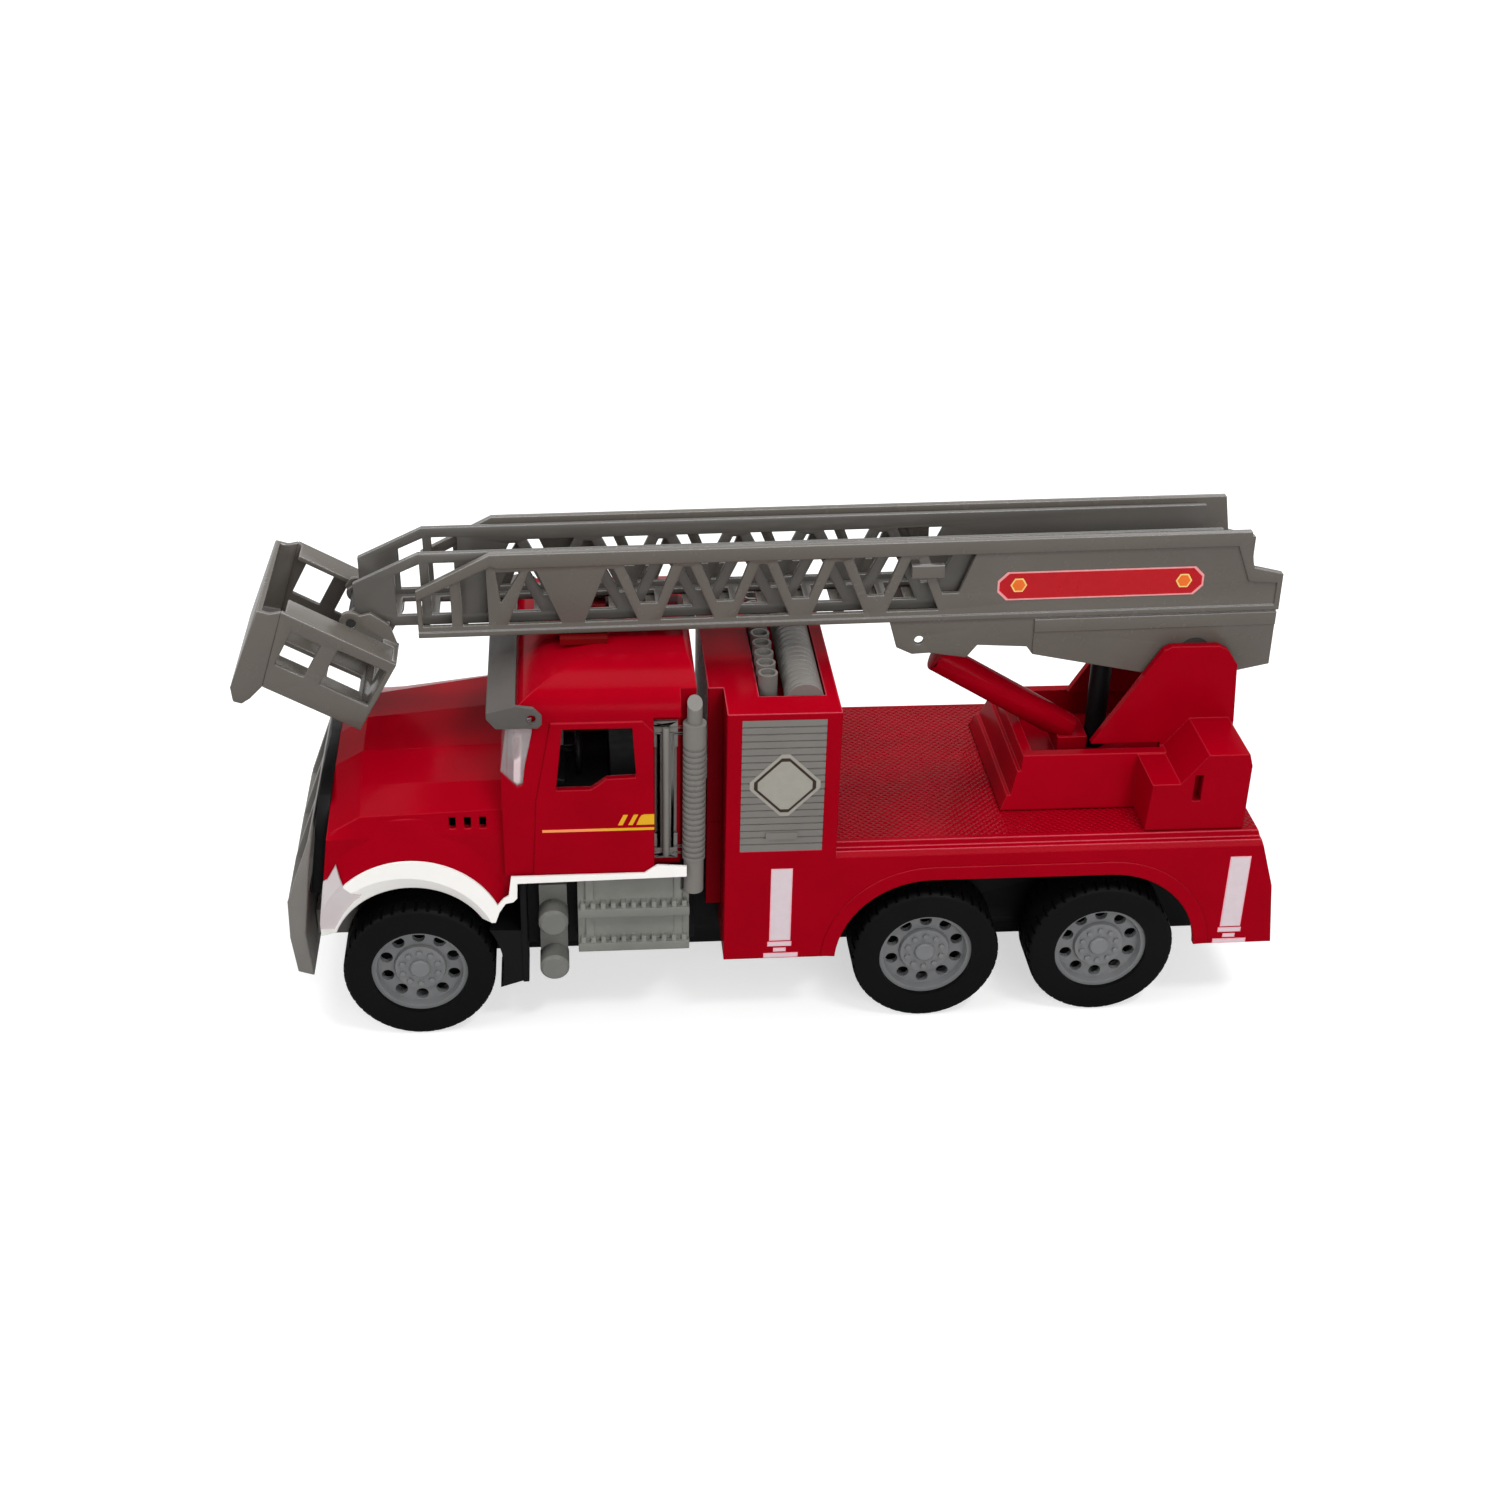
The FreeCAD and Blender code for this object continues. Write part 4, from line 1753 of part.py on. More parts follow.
def make_ladder():
    rail = make_ladder_rail()
    piece("ladder_rail_left", on_ladder(rail))
    image = mirror("ladder_rail_right", rail)
    piece("ladder_rail_right", image)

    # The floor: side strips joined by rungs, between the rails.
    inner = s.ladder_half - s.rail_thickness
    bottom = s.ladder_bottom
    body = new_body("ladder_rungs")
    strip = s.floor_strip
    for name, across in (("left_strip", (inner - strip, inner)), ("right_strip", (-inner, strip - inner))):
        plan = [
            (-s.ladder_heel, across[0]),
            (s.ladder_front, across[0]),
            (s.ladder_front, across[1]),
            (-s.ladder_heel, across[1]),
        ]
        if name == "left_strip":
            pad(body, name, "XY", [plan], (bottom, bottom + s.rung_thickness))
            rung = pad(body, "rung", "XY", [[
                (s.ladder_front - s.rung_width, -inner),
                (s.ladder_front, -inner),
                (s.ladder_front, inner),
                (s.ladder_front - s.rung_width, inner),
            ]], (bottom, bottom + s.rung_thickness))
            row_of(body, "rungs", [rung], "X", s.rung_pitch, s.ladder_rungs, back=True)
        else:
            body.Tip = pad(body, name, "XY", [plan], (bottom, bottom + s.rung_thickness))
    piece("ladder_rungs", on_ladder(body))

    # The cradle under the rails: two side plates with the strut's bracket, joined by cross walls.
    side = [
        (s.bracket_front, bottom),
        (s.bracket_front - 2.4, bottom - 8.8),
        (s.bracket_front - 7.2, bottom - 11.2),
        (s.bracket_front - 12.5, bottom - 11.0),
        (s.bracket_front - 23.9, bottom - 13.0),
        (s.bracket_front - 27.1, bottom - 8.9),
        (s.bracket_front - 42.3, bottom - 10.0),
        (s.bracket_front - s.cradle_step, bottom - s.cradle_drop),
        (s.pivot_back - 7.0, bottom - 20.1),
        (-14.0, bottom - 20.5),
        (-s.ladder_heel + 0.5, bottom - 18.5),
        (-s.ladder_heel + 0.5, bottom),
    ]
    hole = ("circle", s.bracket_front - 9.2, bottom - 6.6, s.bracket_hole_radius)
    pin_hole = ("circle", 0, 0, s.pivot_radius + s.pin_gap)
    plates = [
        prism("cradle_plate_%d" % way, "XZ", [side, hole, pin_hole], span(way, inner, s.ladder_half))
        for way in (1, -1)
    ]
    skins = []
    for way in (1, -1):
        skins.append(prism("cradle_skin_%d" % way, "XZ", [[
            (s.bracket_front - s.cradle_step, bottom - 0.6),
            (s.bracket_front - s.cradle_step, bottom - s.cradle_drop),
            (s.pivot_back - 7.0, bottom - 20.1),
            (-14.0, bottom - 20.5),
            (-s.ladder_heel + 0.5, bottom - 18.5),
            (-s.ladder_heel + 0.5, bottom - 0.6),
        ], pin_hole], span(way, s.ladder_half, s.ladder_half + s.cradle_skin)))
        skins.append(box(
            "cradle_band_%d" % way,
            (-s.ladder_heel + 0.5, s.bracket_front - s.cradle_step),
            span(way, s.ladder_half, s.ladder_half + s.cradle_rise),
            (bottom - s.cradle_band - 0.6, bottom - 0.6),
        ))
    walls = []
    for name, x, low, high in (
        ("front_wall", s.bracket_front - s.cradle_step, bottom - 10.0, bottom),
        ("rear_wall", s.rail_thickness * 2 - s.ladder_heel + 0.5, bottom - 18.0, bottom),
    ):
        walls.append(box("cradle_" + name, (x - s.rail_thickness, x), both_sides(inner), (low, high)))
    piece("ladder_cradle", on_ladder(fuse("ladder_cradle", plates + skins + walls)))
    piece("lift_pin", rod("lift_pin", "Y", pivot_x, -pin_half, s.pivot_height, s.pivot_radius, pin_half * 2))


make_ladder()


def make_fly():
    bottom = s.ladder_bottom + s.rung_thickness + s.slide_gap
    top = bottom + s.fly_height
    inner, outer = s.fly_half - s.rail_thickness, s.fly_half
    front = s.fly_front
    body = new_body("fly_rail")
    ear_x, ear_z = s.basket_pivot_ahead, s.basket_pivot_rise
    outline = [
        (-s.fly_rear, bottom),
        (front - s.fly_floor_end, bottom),
        (front - s.fly_floor_end, bottom + 1.4),
        (ear_x - 3.2, ear_z - 1.0),
        (ear_x - 1.0, ear_z - s.tip_ear, s.tip_ear),
        (ear_x + s.tip_ear - 0.4, ear_z + 1.0),
        (front, bottom + 6.0),
        (front, top - 9.0),
        (front - 19.5, top),
        (-s.fly_rear, top),
    ]
    low = bottom + s.truss_low
    windows = [
        [(front - 19.6, low), (front - 12.2, low), (front - 12.2, top - 6.6), (front - 19.6, top - 3.4)],
        [(front - 29.8, low), (front - 22.2, low), (front - 22.2, top - 3.2), (front - 29.8, top - 3.2)],
    ]
    pin_hole = ("circle", ear_x, ear_z, s.lug_pin_radius + s.pin_gap)
    pad(body, "rail", "XZ", [outline, pin_hole] + windows, (inner, outer))
    low_window, high_window = truss_windows(bottom, top, s.truss_first + s.fly_shift)
    lows = pocket(body, "low_window", "XZ", [low_window], (inner - 1, outer + 1))
    row_of(body, "low_windows", [lows], "X", s.truss_pitch, s.truss_count, back=True)
    highs = pocket(body, "high_window", "XZ", [high_window], (inner - 1, outer + 1))
    row_of(body, "high_windows", [highs], "X", s.truss_pitch, s.truss_count, back=True)
    piece("fly_rail_left", on_ladder(body))
    piece("fly_rail_right", mirror("fly_rail_right", body))

    floor = new_body("fly_rungs")
    strip = s.fly_strip
    first = front - s.fly_floor_end
    plan = [(-s.fly_rear, inner - strip), (first, inner - strip), (first, inner), (-s.fly_rear, inner)]
    pad(floor, "left_strip", "XY", [plan], (bottom, bottom + s.rung_thickness))
    rung = pad(floor, "rung", "XY", [[
        (first - s.rung_width, -inner),
        (first, -inner),
        (first, inner),
        (first - s.rung_width, inner),
    ]], (bottom, bottom + s.rung_thickness))
    row_of(floor, "rungs", [rung], "X", s.rung_pitch, s.fly_rungs, back=True)
    mate = [(x, -y) for x, y in reversed(plan)]
    floor.Tip = pad(floor, "right_strip", "XY", [mate], (bottom, bottom + s.rung_thickness))
    piece("fly_rungs", on_ladder(floor))


make_fly()


# ---- basket: drawn level from its own pivot, then leaned back -----------------------------------

fall, run = sine(s.droop), cosine(s.droop)
basket_x = pivot_x + s.basket_pivot_ahead * run + s.basket_pivot_rise * fall
basket_z = s.pivot_height - s.basket_pivot_ahead * fall + s.basket_pivot_rise * run


def on_basket(solid):
    """Puts a piece drawn from the basket's pivot where the resting basket hangs."""
    return move(solid, x=basket_x, z=basket_z, axis=ACROSS, angle=-s.basket_lean)


def make_basket():
    wall, half = s.basket_wall, s.basket_half
    rear, front, top_front, floor = -s.basket_rear, s.basket_front, s.basket_top_front, -s.basket_depth
    side = [(rear, floor), (front, floor), (top_front, sized(0)), (rear, sized(0))]
    front_window = [
        (front - s.front_window_length, floor + s.window_foot),
        (front - 0.2, floor + s.window_foot),
        (front, floor + 20.0),
        (front - s.front_window_length, floor + 20.0),
    ]
    rear_window = [
        (rear + 1.4, floor + s.window_foot),
        (rear + s.rear_window_end, floor + s.window_foot),
        (rear + s.rear_window_end, floor + 21.0),
        (rear + 1.4, floor + 21.0),
    ]
    body = new_body("basket_side")
    pad(body, "panel", "XZ", [side, front_window, rear_window], (half - wall, half))
    rim_rear, rim_front = rear + wall, top_front - s.rim_end
    rim = [(rim_rear, -wall), (rim_front, -wall), (rim_front, sized(0)), (rim_rear, sized(0))]
    body.Tip = pad(body, "rim", "XZ", [rim], (half - s.basket_rim, half))
    piece("basket_side_left", on_basket(body))
    piece("basket_side_right", mirror("basket_side_right", body))

    inner = half - wall
    plate = [(rear, -inner), (front, -inner), (front, inner), (rear, inner)]
    bar, edge = s.floor_bar / 2, s.floor_opening
    openings = []
    for low, high in ((rear + s.floor_rim, -bar), (bar, front - s.floor_rim)):
        openings.append([(low, -edge), (high, -edge), (high, edge), (low, edge)])
    piece("basket_floor", on_basket(prism("basket_floor", "XY", [plate] + openings, (floor, floor + wall))))

    shield_side = [
        (front, floor),
        (front + 1.4, floor - 5.1),
        (front + 2.8, floor - s.shield_foot + 0.5),
        (front + 5.4, floor - s.shield_foot),
        (front + 7.9, floor - 4.6),
        (top_front + s.shield_length, -s.shield_drop),
        (top_front + 2.5, -s.shield_drop + 0.8),
        (top_front, sized(0)),
    ]
    hollow = [
        (front - wall, floor + wall),
        (front, floor + wall),
        (front + 7.9 - wall, floor + wall - 2),
        (top_front + s.shield_length - wall, -s.shield_drop - 0.1),
        (top_front + s.shield_length - wall, sized(1)),
        (top_front - wall, sized(1)),
    ]
    shield = cut("basket_shield", prism("shield_solid", "XZ", [shield_side], both_sides(half)), [
        prism("shield_hollow", "XZ", [hollow], both_sides(inner)),
    ])
    piece("basket_shield", on_basket(shield))

    notch_half = s.fly_half + 1.0
    back_wall = box("basket_back_plate", (rear, rear + wall), both_sides(inner), (floor + wall, sized(0)))
    notch = box("basket_notch", (rear - 1, rear + wall + 1), both_sides(notch_half), (-s.notch_depth, sized(1)))
    lugs = []
    for way in (1, -1):
        lug = [
            (rear, -4.0),
            (rear + 14.0, -4.0),
            (s.lug_radius, -1.2),
            (s.lug_radius, 1.6, s.lug_radius + 0.6),
            (-1.2, s.lug_radius),
            (-3.6, 5.6),
            (-9.9, 4.8),
            (rear, -0.6),
        ]
        eye = ("circle", sized(0), sized(0), s.lug_pin_radius)
        middle = s.lug_centre
        lugs.append(prism("basket_lug_%d" % way, "XZ", [lug, eye], span(way, middle - wall / 2, middle + wall / 2)))
    rims = [
        box("back_rim_%d" % way, (rear, rear + s.back_rim), span(way, s.lug_centre, half - s.basket_rim), (-wall, 0))
        for way in (1, -1)
    ]
    back_piece = fuse("basket_back", [cut("basket_back_notched", back_wall, [notch])] + lugs + rims)
    piece("basket_back", on_basket(back_piece))
    pin_half = s.lug_centre + wall / 2
    piece("basket_pin", rod("basket_pin", "Y", basket_x, -pin_half, basket_z, s.lug_pin_radius, pin_half * 2))


make_basket()


# ---- check and export ---------------------------------------------------------------------------

doc.recompute()
failed = [thing.Name for thing in doc.Objects if {"Invalid", "Error"} & set(thing.State)]
if failed:
    sys.exit("failed objects: " + ", ".join(failed))
for node, solids in nodes.items():
    for solid in solids:
        shape = solid.Shape
        if shape.isNull() or not shape.isValid() or not shape.Solids:
            sys.exit("no valid solid in " + node)
    solids[0].Shape.exportStep("parts/%s.step" % node)
    print("%-22s %2d solids %9.1f mm3" % (node, len(shape.Solids), shape.Volume))
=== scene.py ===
import json
import math

import bpy
from mathutils import Matrix, Vector


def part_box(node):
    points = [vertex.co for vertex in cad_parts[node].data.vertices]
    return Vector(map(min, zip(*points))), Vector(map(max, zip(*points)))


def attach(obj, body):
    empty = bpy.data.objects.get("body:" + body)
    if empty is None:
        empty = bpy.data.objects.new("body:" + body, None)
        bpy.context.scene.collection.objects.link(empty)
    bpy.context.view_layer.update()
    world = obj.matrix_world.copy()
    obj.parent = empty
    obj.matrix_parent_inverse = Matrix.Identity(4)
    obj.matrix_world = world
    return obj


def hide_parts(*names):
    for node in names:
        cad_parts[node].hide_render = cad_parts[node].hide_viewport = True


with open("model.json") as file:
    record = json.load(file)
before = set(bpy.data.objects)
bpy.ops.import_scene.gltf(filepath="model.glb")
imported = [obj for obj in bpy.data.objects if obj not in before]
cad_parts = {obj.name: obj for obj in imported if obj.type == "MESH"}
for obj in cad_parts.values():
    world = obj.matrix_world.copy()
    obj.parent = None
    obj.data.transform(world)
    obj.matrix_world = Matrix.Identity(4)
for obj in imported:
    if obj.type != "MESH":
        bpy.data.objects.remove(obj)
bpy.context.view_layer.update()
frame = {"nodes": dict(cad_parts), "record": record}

# The looks of the toy fire engine over its solids: materials, rounded mouldings, stickers and small
# mouldings, the camera and the studio. Lengths are in metres. The small pieces are given in millimetres.

MM = 0.001
SMOOTH_ANGLE = math.radians(35)


# ---- materials ---------------------------------------------------------------------------------

# the span that holds most of a noise's values
NOISE_LOW, NOISE_HIGH = 0.3, 0.7
# moulded plastic: cycles per metre of its satin bloom, its grain and its waves, the grain's share, the depth
BLOOM_SCALE = 260
GRAIN_SCALE = 2400
WAVE_SCALE = 90
GRAIN_SHARE = 0.25
GRAIN_DEPTH = 0.0002


def add_node(tree, kind, **settings):
    """A shader node, its properties set by name and its sockets by label, a socket given as a link."""
    node = tree.nodes.new(kind)
    for label, value in settings.items():
        if hasattr(node, label):
            setattr(node, label, value)
            continue
        socket = node.inputs[label.replace("_", " ")]
        if isinstance(value, bpy.types.NodeSocket):
            tree.links.new(value, socket)
        else:
            socket.default_value = value
    return node


def new_material(name):
    material = bpy.data.materials.new(name)
    material.use_nodes = True
    tree = material.node_tree
    shader = tree.nodes["Principled BSDF"]
    place = add_node(tree, "ShaderNodeTexCoord").outputs["Object"]
    return material, tree, shader, place


def linear(red, green, blue):
    """A colour as it looks on a screen, 0 to 255, as the light it stands for."""
    parts = [part / 255 for part in (red, green, blue)]
    return [part / 12.92 if part <= 0.04045 else ((part + 0.055) / 1.055) ** 2.4 for part in parts] + [1]


def noise(tree, place, scale, detail=3, roughness=0.5):
    return add_node(
        tree, "ShaderNodeTexNoise", Vector=place, Scale=scale, Detail=detail, Roughness=roughness
    ).outputs["Fac"]


def blend_colours(tree, factor, first, second):
    ramp = add_node(tree, "ShaderNodeValToRGB", Fac=factor)
    ramp.color_ramp.elements[0].color = first
    ramp.color_ramp.elements[1].color = second
    ramp.color_ramp.elements[0].position = NOISE_LOW
    ramp.color_ramp.elements[1].position = NOISE_HIGH
    return ramp.outputs["Color"]


def map_range(tree, value, low, high, to_low, to_high):
    return add_node(
        tree, "ShaderNodeMapRange", Value=value, From_Min=low, From_Max=high, To_Min=to_low, To_Max=to_high
    ).outputs["Result"]


def paint_edge_highlight(tree, shader, softened, pale):
    """Paints a highlight on edges that face up: the base colour is mixed towards a paler one where the softened
    skin turns away from the flat one.
    """
    flat = add_node(tree, "ShaderNodeNewGeometry").outputs["True Normal"]
    turn = add_node(tree, "ShaderNodeVectorMath", operation="DOT_PRODUCT")
    tree.links.new(softened, turn.inputs[0])
    tree.links.new(flat, turn.inputs[1])
    first_turn, full_turn = 0.985, 0.88
    turned = map_range(tree, turn.outputs["Value"], first_turn, full_turn, 0, 1)
    upward = add_node(tree, "ShaderNodeSeparateXYZ", Vector=softened).outputs["Z"]
    leaning, upright, most = 0.3, 0.7, 0.8
    facing = map_range(tree, upward, leaning, upright, 0, most)
    share = add_node(tree, "ShaderNodeMath", operation="MULTIPLY")
    tree.links.new(turned, share.inputs[0])
    tree.links.new(facing, share.inputs[1])
    ground = shader.inputs["Base Color"].links[0].from_socket
    mixed = add_node(tree, "ShaderNodeMix", data_type="RGBA")
    sockets = {socket.name: socket for socket in mixed.inputs if socket.enabled}
    tree.links.new(share.outputs["Value"], sockets["Factor"])
    tree.links.new(ground, sockets["A"])
    sockets["B"].default_value = pale
    result = [socket for socket in mixed.outputs if socket.enabled][0]
    tree.links.new(result, shader.inputs["Base Color"])


def moulded(name, colour, deep, rough=0.3, gloss=0.08, grain=0.02, swirl=60, edge=0.0, pale=None):
    """Moulded plastic: a faint swirl in its colour, a satin bloom, a fine grain and softened edges."""
    material, tree, shader, place = new_material(name)
    cloud = noise(tree, place, swirl, 4, 0.6)
    tree.links.new(blend_colours(tree, cloud, deep, colour), shader.inputs["Base Color"])
    bloom = noise(tree, place, BLOOM_SCALE, 3)
    satin = map_range(tree, bloom, NOISE_LOW, NOISE_HIGH, rough * 0.85, rough * 1.2)
    tree.links.new(satin, shader.inputs["Roughness"])
    fine = noise(tree, place, GRAIN_SCALE, 2)
    wavy = noise(tree, place, WAVE_SCALE, 1)
    height = add_node(tree, "ShaderNodeMath", operation="MULTIPLY_ADD")
    tree.links.new(fine, height.inputs[0])
    height.inputs[1].default_value = GRAIN_SHARE
    tree.links.new(wavy, height.inputs[2])
    bump = add_node(tree, "ShaderNodeBump", Strength=grain, Distance=GRAIN_DEPTH, Height=height.outputs["Value"])
    if edge:
        softened = add_node(tree, "ShaderNodeBevel", samples=6, Radius=edge)
        tree.links.new(softened.outputs["Normal"], bump.inputs["Normal"])
    # given a pale colour, a highlight is painted on the upward-facing edges
    if pale:
        paint_edge_highlight(tree, shader, softened.outputs["Normal"], pale)
    tree.links.new(bump.outputs["Normal"], shader.inputs["Normal"])
    shader.inputs["Specular IOR Level"].default_value = gloss
    return material


RED = linear(150, 0, 20)
DEEP_RED = linear(142, 0, 18)
RED_SKIN = {"rough": 0.18, "gloss": 0.02, "edge": 0.0007}
# paler colours mixed into upward-facing edges: painted highlights
PAINTED_HIGHLIGHT_RED = linear(188, 44, 56)
PAINTED_HIGHLIGHT_DECK_RED = linear(226, 100, 116)
PAINTED_HIGHLIGHT_GREY = linear(178, 178, 180)
red = moulded("red_gloss", RED, DEEP_RED, pale=PAINTED_HIGHLIGHT_RED, **RED_SKIN)
black = moulded("black_satin", linear(15, 15, 16), linear(12, 12, 13), rough=0.42, gloss=0.1)
white = moulded("white_gloss", linear(240, 238, 234), linear(234, 232, 228), rough=0.35, gloss=0.2, edge=0.0003)
visor_grey = moulded("visor_grey", linear(86, 82, 79), linear(81, 77, 75), rough=0.35, gloss=0.15)
silver = moulded("silver_satin", linear(116, 113, 109), linear(110, 107, 103), rough=0.36, gloss=0.2)
tank_grey = moulded("tank_grey", linear(122, 123, 117), linear(110, 111, 106), rough=0.4, gloss=0.15)
dark_tank = moulded("air_tank_grey", linear(114, 114, 110), linear(102, 102, 98), rough=0.4, gloss=0.15)
# the greys also get a painted highlight on their upward edges
GREY_SKIN = {"gloss": 0.26, "edge": 0.0004, "pale": PAINTED_HIGHLIGHT_GREY}
ladder_grey = moulded("ladder_grey", linear(94, 89, 83), linear(91, 86, 80), rough=0.24, **GREY_SKIN)
fly_grey = moulded("fly_grey", linear(88, 85, 81), linear(85, 82, 78), rough=0.22, **GREY_SKIN)
pin_grey = moulded("pin_grey", linear(52, 51, 51), linear(44, 43, 43), rough=0.4, gloss=0.15)
rubber = moulded("tyre_black", linear(13, 13, 14), linear(10, 10, 11), rough=0.5, gloss=0.06, grain=0.05)
rim_grey = moulded("rim_grey", linear(118, 119, 120), linear(108, 109, 110), rough=0.33, gloss=0.2, edge=0.0002)
lamp_red = moulded("lamp_red", linear(116, 8, 12), linear(100, 6, 10), rough=0.18, gloss=0.2)


def brushed_wire():
    """Drawn steel wire, with rings round it left by the draw plate."""
    material, tree, shader, place = new_material("axle_steel")
    stretched = add_node(tree, "ShaderNodeMapping", Vector=place)
    stretched.inputs["Scale"].default_value = (1, 14, 1)
    scratches = noise(tree, stretched.outputs["Vector"], 900, 4)
    tree.links.new(
        blend_colours(tree, scratches, linear(150, 150, 150), linear(188, 188, 190)), shader.inputs["Base Color"]
    )
    worn = map_range(tree, scratches, NOISE_LOW, NOISE_HIGH, 0.25, 0.42)
    tree.links.new(worn, shader.inputs["Roughness"])
    shader.inputs["Metallic"].default_value = 1.0
    return material


def clear_moulding(name, colour, rough, clear):
    """Clear plastic with a faint tint and flow marks."""
    material, tree, shader, place = new_material(name)
    flow = noise(tree, place, 120, 2)
    tree.links.new(blend_colours(tree, flow, colour, linear(250, 244, 244)), shader.inputs["Base Color"])
    hazed = map_range(tree, flow, NOISE_LOW, NOISE_HIGH, rough * 0.7, rough * 1.4)
    tree.links.new(hazed, shader.inputs["Roughness"])
    bump = add_node(tree, "ShaderNodeBump", Strength=0.05, Distance=0.0005, Height=flow)
    tree.links.new(bump.outputs["Normal"], shader.inputs["Normal"])
    shader.inputs["Transmission Weight"].default_value = clear
    shader.inputs["IOR"].default_value = 1.2
    return material


steel = brushed_wire()
glass = clear_moulding("windscreen_clear", linear(240, 214, 218), 0.1, 0.8)
lens_clear = clear_moulding("lens_clear", linear(246, 232, 234), 0.14, 0.45)


# the deck's top: its height, half the hatched width, and how far above and below the hatch still counts
DECK_HEIGHT = 0.0643
DECK_HALF = 0.0405
DECK_SKIN = 0.0004
HATCH_SCALE = 190
HATCH_DEPTH = 0.0004


def deck_red():
    """The red of the rear body, with a fine diamond hatch pressed into the deck's top."""
    # the deck's red gets a brighter painted highlight on its upward edges
    material = moulded("red_gloss_deck", RED, DEEP_RED, pale=PAINTED_HIGHLIGHT_DECK_RED, **RED_SKIN)
    tree = material.node_tree
    shader = tree.nodes["Principled BSDF"]
    place = tree.nodes["Texture Coordinate"].outputs["Object"]
    split = add_node(tree, "ShaderNodeSeparateXYZ", Vector=place)
    waves = []
    for turn in (1, -1):
        turned = add_node(tree, "ShaderNodeMapping", Vector=place)
        turned.inputs["Rotation"].default_value = (0, 0, math.radians(45 * turn))
        wave = add_node(
            tree, "ShaderNodeTexWave", Vector=turned.outputs["Vector"], Scale=HATCH_SCALE, Distortion=0.6, Detail=1
        )
        wave.inputs["Detail Scale"].default_value = 2
        waves.append(wave.outputs["Fac"])
    hatch = add_node(tree, "ShaderNodeMath", operation="MAXIMUM")
    tree.links.new(waves[0], hatch.inputs[0])
    tree.links.new(waves[1], hatch.inputs[1])
    masks = []
    limits = (
        ("Z", DECK_HEIGHT - DECK_SKIN, "GREATER_THAN"),
        ("Z", DECK_HEIGHT + DECK_SKIN, "LESS_THAN"),
        ("Y", -DECK_HALF, "GREATER_THAN"),
        ("Y", DECK_HALF, "LESS_THAN"),
    )
    for output, limit, side in limits:
        step = add_node(tree, "ShaderNodeMath", operation=side)
        tree.links.new(split.outputs[output], step.inputs[0])
        step.inputs[1].default_value = limit
        masks.append(step.outputs["Value"])
    mask = masks[0]
    for other in masks[1:]:
        both = add_node(tree, "ShaderNodeMath", operation="MULTIPLY")
        tree.links.new(mask, both.inputs[0])
        tree.links.new(other, both.inputs[1])
        mask = both.outputs["Value"]
    pressed = add_node(tree, "ShaderNodeMath", operation="MULTIPLY")
    tree.links.new(hatch.outputs["Value"], pressed.inputs[0])
    tree.links.new(mask, pressed.inputs[1])
    smooth = shader.inputs["Normal"].links[0].from_socket
    bump = add_node(tree, "ShaderNodeBump", Strength=0.9, Distance=HATCH_DEPTH, Height=pressed.outputs["Value"])
    tree.links.new(smooth, bump.inputs["Normal"])
    tree.links.new(bump.outputs["Normal"], shader.inputs["Normal"])
    return material


red_deck = deck_red()


# ---- mouldings: the solids with their edges rounded ----------------------------------------------

MERGE_DISTANCE = 0.000002
FLAT_ANGLE = math.radians(0.5)
SHARP_ANGLE = math.radians(28)
EDGE_SEGMENTS = 2


def only(piece):
    """Leaves just this piece selected and active."""
    bpy.ops.object.select_all(action="DESELECT")
    piece.select_set(True)
    bpy.context.view_layer.objects.active = piece


def finish_piece(piece, body, material):
    """Gives a piece smooth shading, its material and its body."""
    only(piece)
    bpy.ops.object.shade_smooth_by_angle(angle=SMOOTH_ANGLE)
    piece.data.materials.clear()
    piece.data.materials.append(material)
    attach(piece, body)


def rounded(name, body, material, width):
    """A copy of a solid with its sharp edges rounded, as a mould leaves them, that stands for it."""
    source = frame["nodes"][name]
    piece = bpy.data.objects.new(name + "_moulding", source.data.copy())
    bpy.context.scene.collection.objects.link(piece)
    only(piece)
    bpy.ops.object.mode_set(mode="EDIT")
    bpy.ops.mesh.select_all(action="SELECT")
    bpy.ops.mesh.remove_doubles(threshold=MERGE_DISTANCE)
    bpy.ops.mesh.beautify_fill(angle_limit=FLAT_ANGLE)
    bpy.ops.mesh.tris_convert_to_quads(face_threshold=FLAT_ANGLE, shape_threshold=math.radians(180))
    bpy.ops.object.mode_set(mode="OBJECT")
    edge = piece.modifiers.new("edge", "BEVEL")
    edge.width = width
    edge.segments = EDGE_SEGMENTS
    edge.limit_method = "ANGLE"
    edge.angle_limit = SHARP_ANGLE
    edge.use_clamp_overlap = False
    edge.miter_outer = "MITER_ARC"
    bpy.ops.object.modifier_apply(modifier=edge.name)
    finish_piece(piece, body, material)
    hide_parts(name)


body_of_node = {node: body for body, nodes in frame["record"]["behaviour"]["bodies"].items() for node in nodes}
slot_of_node = {item["node"]: item["material_slot"] for item in frame["record"]["subparts"]}
# each node, its material and the width of its rounded edges in millimetres
ROUNDED = [
    ("lift_strut", red, 0.4),
    ("sun_visor", visor_grey, 0.3),
    ("bumper", silver, 0.5),
    ("grille", black, 0.3),
    ("fuel_tank_left", tank_grey, 0.25),
    ("fuel_tank_right", tank_grey, 0.25),
    ("ladder_rail_left", ladder_grey, 0.12),
    ("ladder_rail_right", ladder_grey, 0.12),
    ("ladder_rungs", ladder_grey, 0.2),
    ("ladder_cradle", ladder_grey, 0.15),
    ("fly_rail_left", fly_grey, 0.15),
    ("fly_rail_right", fly_grey, 0.15),
    ("fly_rungs", fly_grey, 0.2),
    ("basket_side_left", ladder_grey, 0.3),
    ("basket_side_right", ladder_grey, 0.3),
    ("basket_floor", ladder_grey, 0.3),
    ("basket_shield", ladder_grey, 0.4),
    ("basket_back", ladder_grey, 0.25),
    ("grab_handle_left", silver, 0.2),
    ("grab_handle_right", silver, 0.2),
    ("cab_interior", black, 0.5),
    ("chassis", black, 0.4),
    ("cab_floor", black, 0.4),
]
for name, material, width in ROUNDED:
    rounded(name, body_of_node[name], material, width * MM)

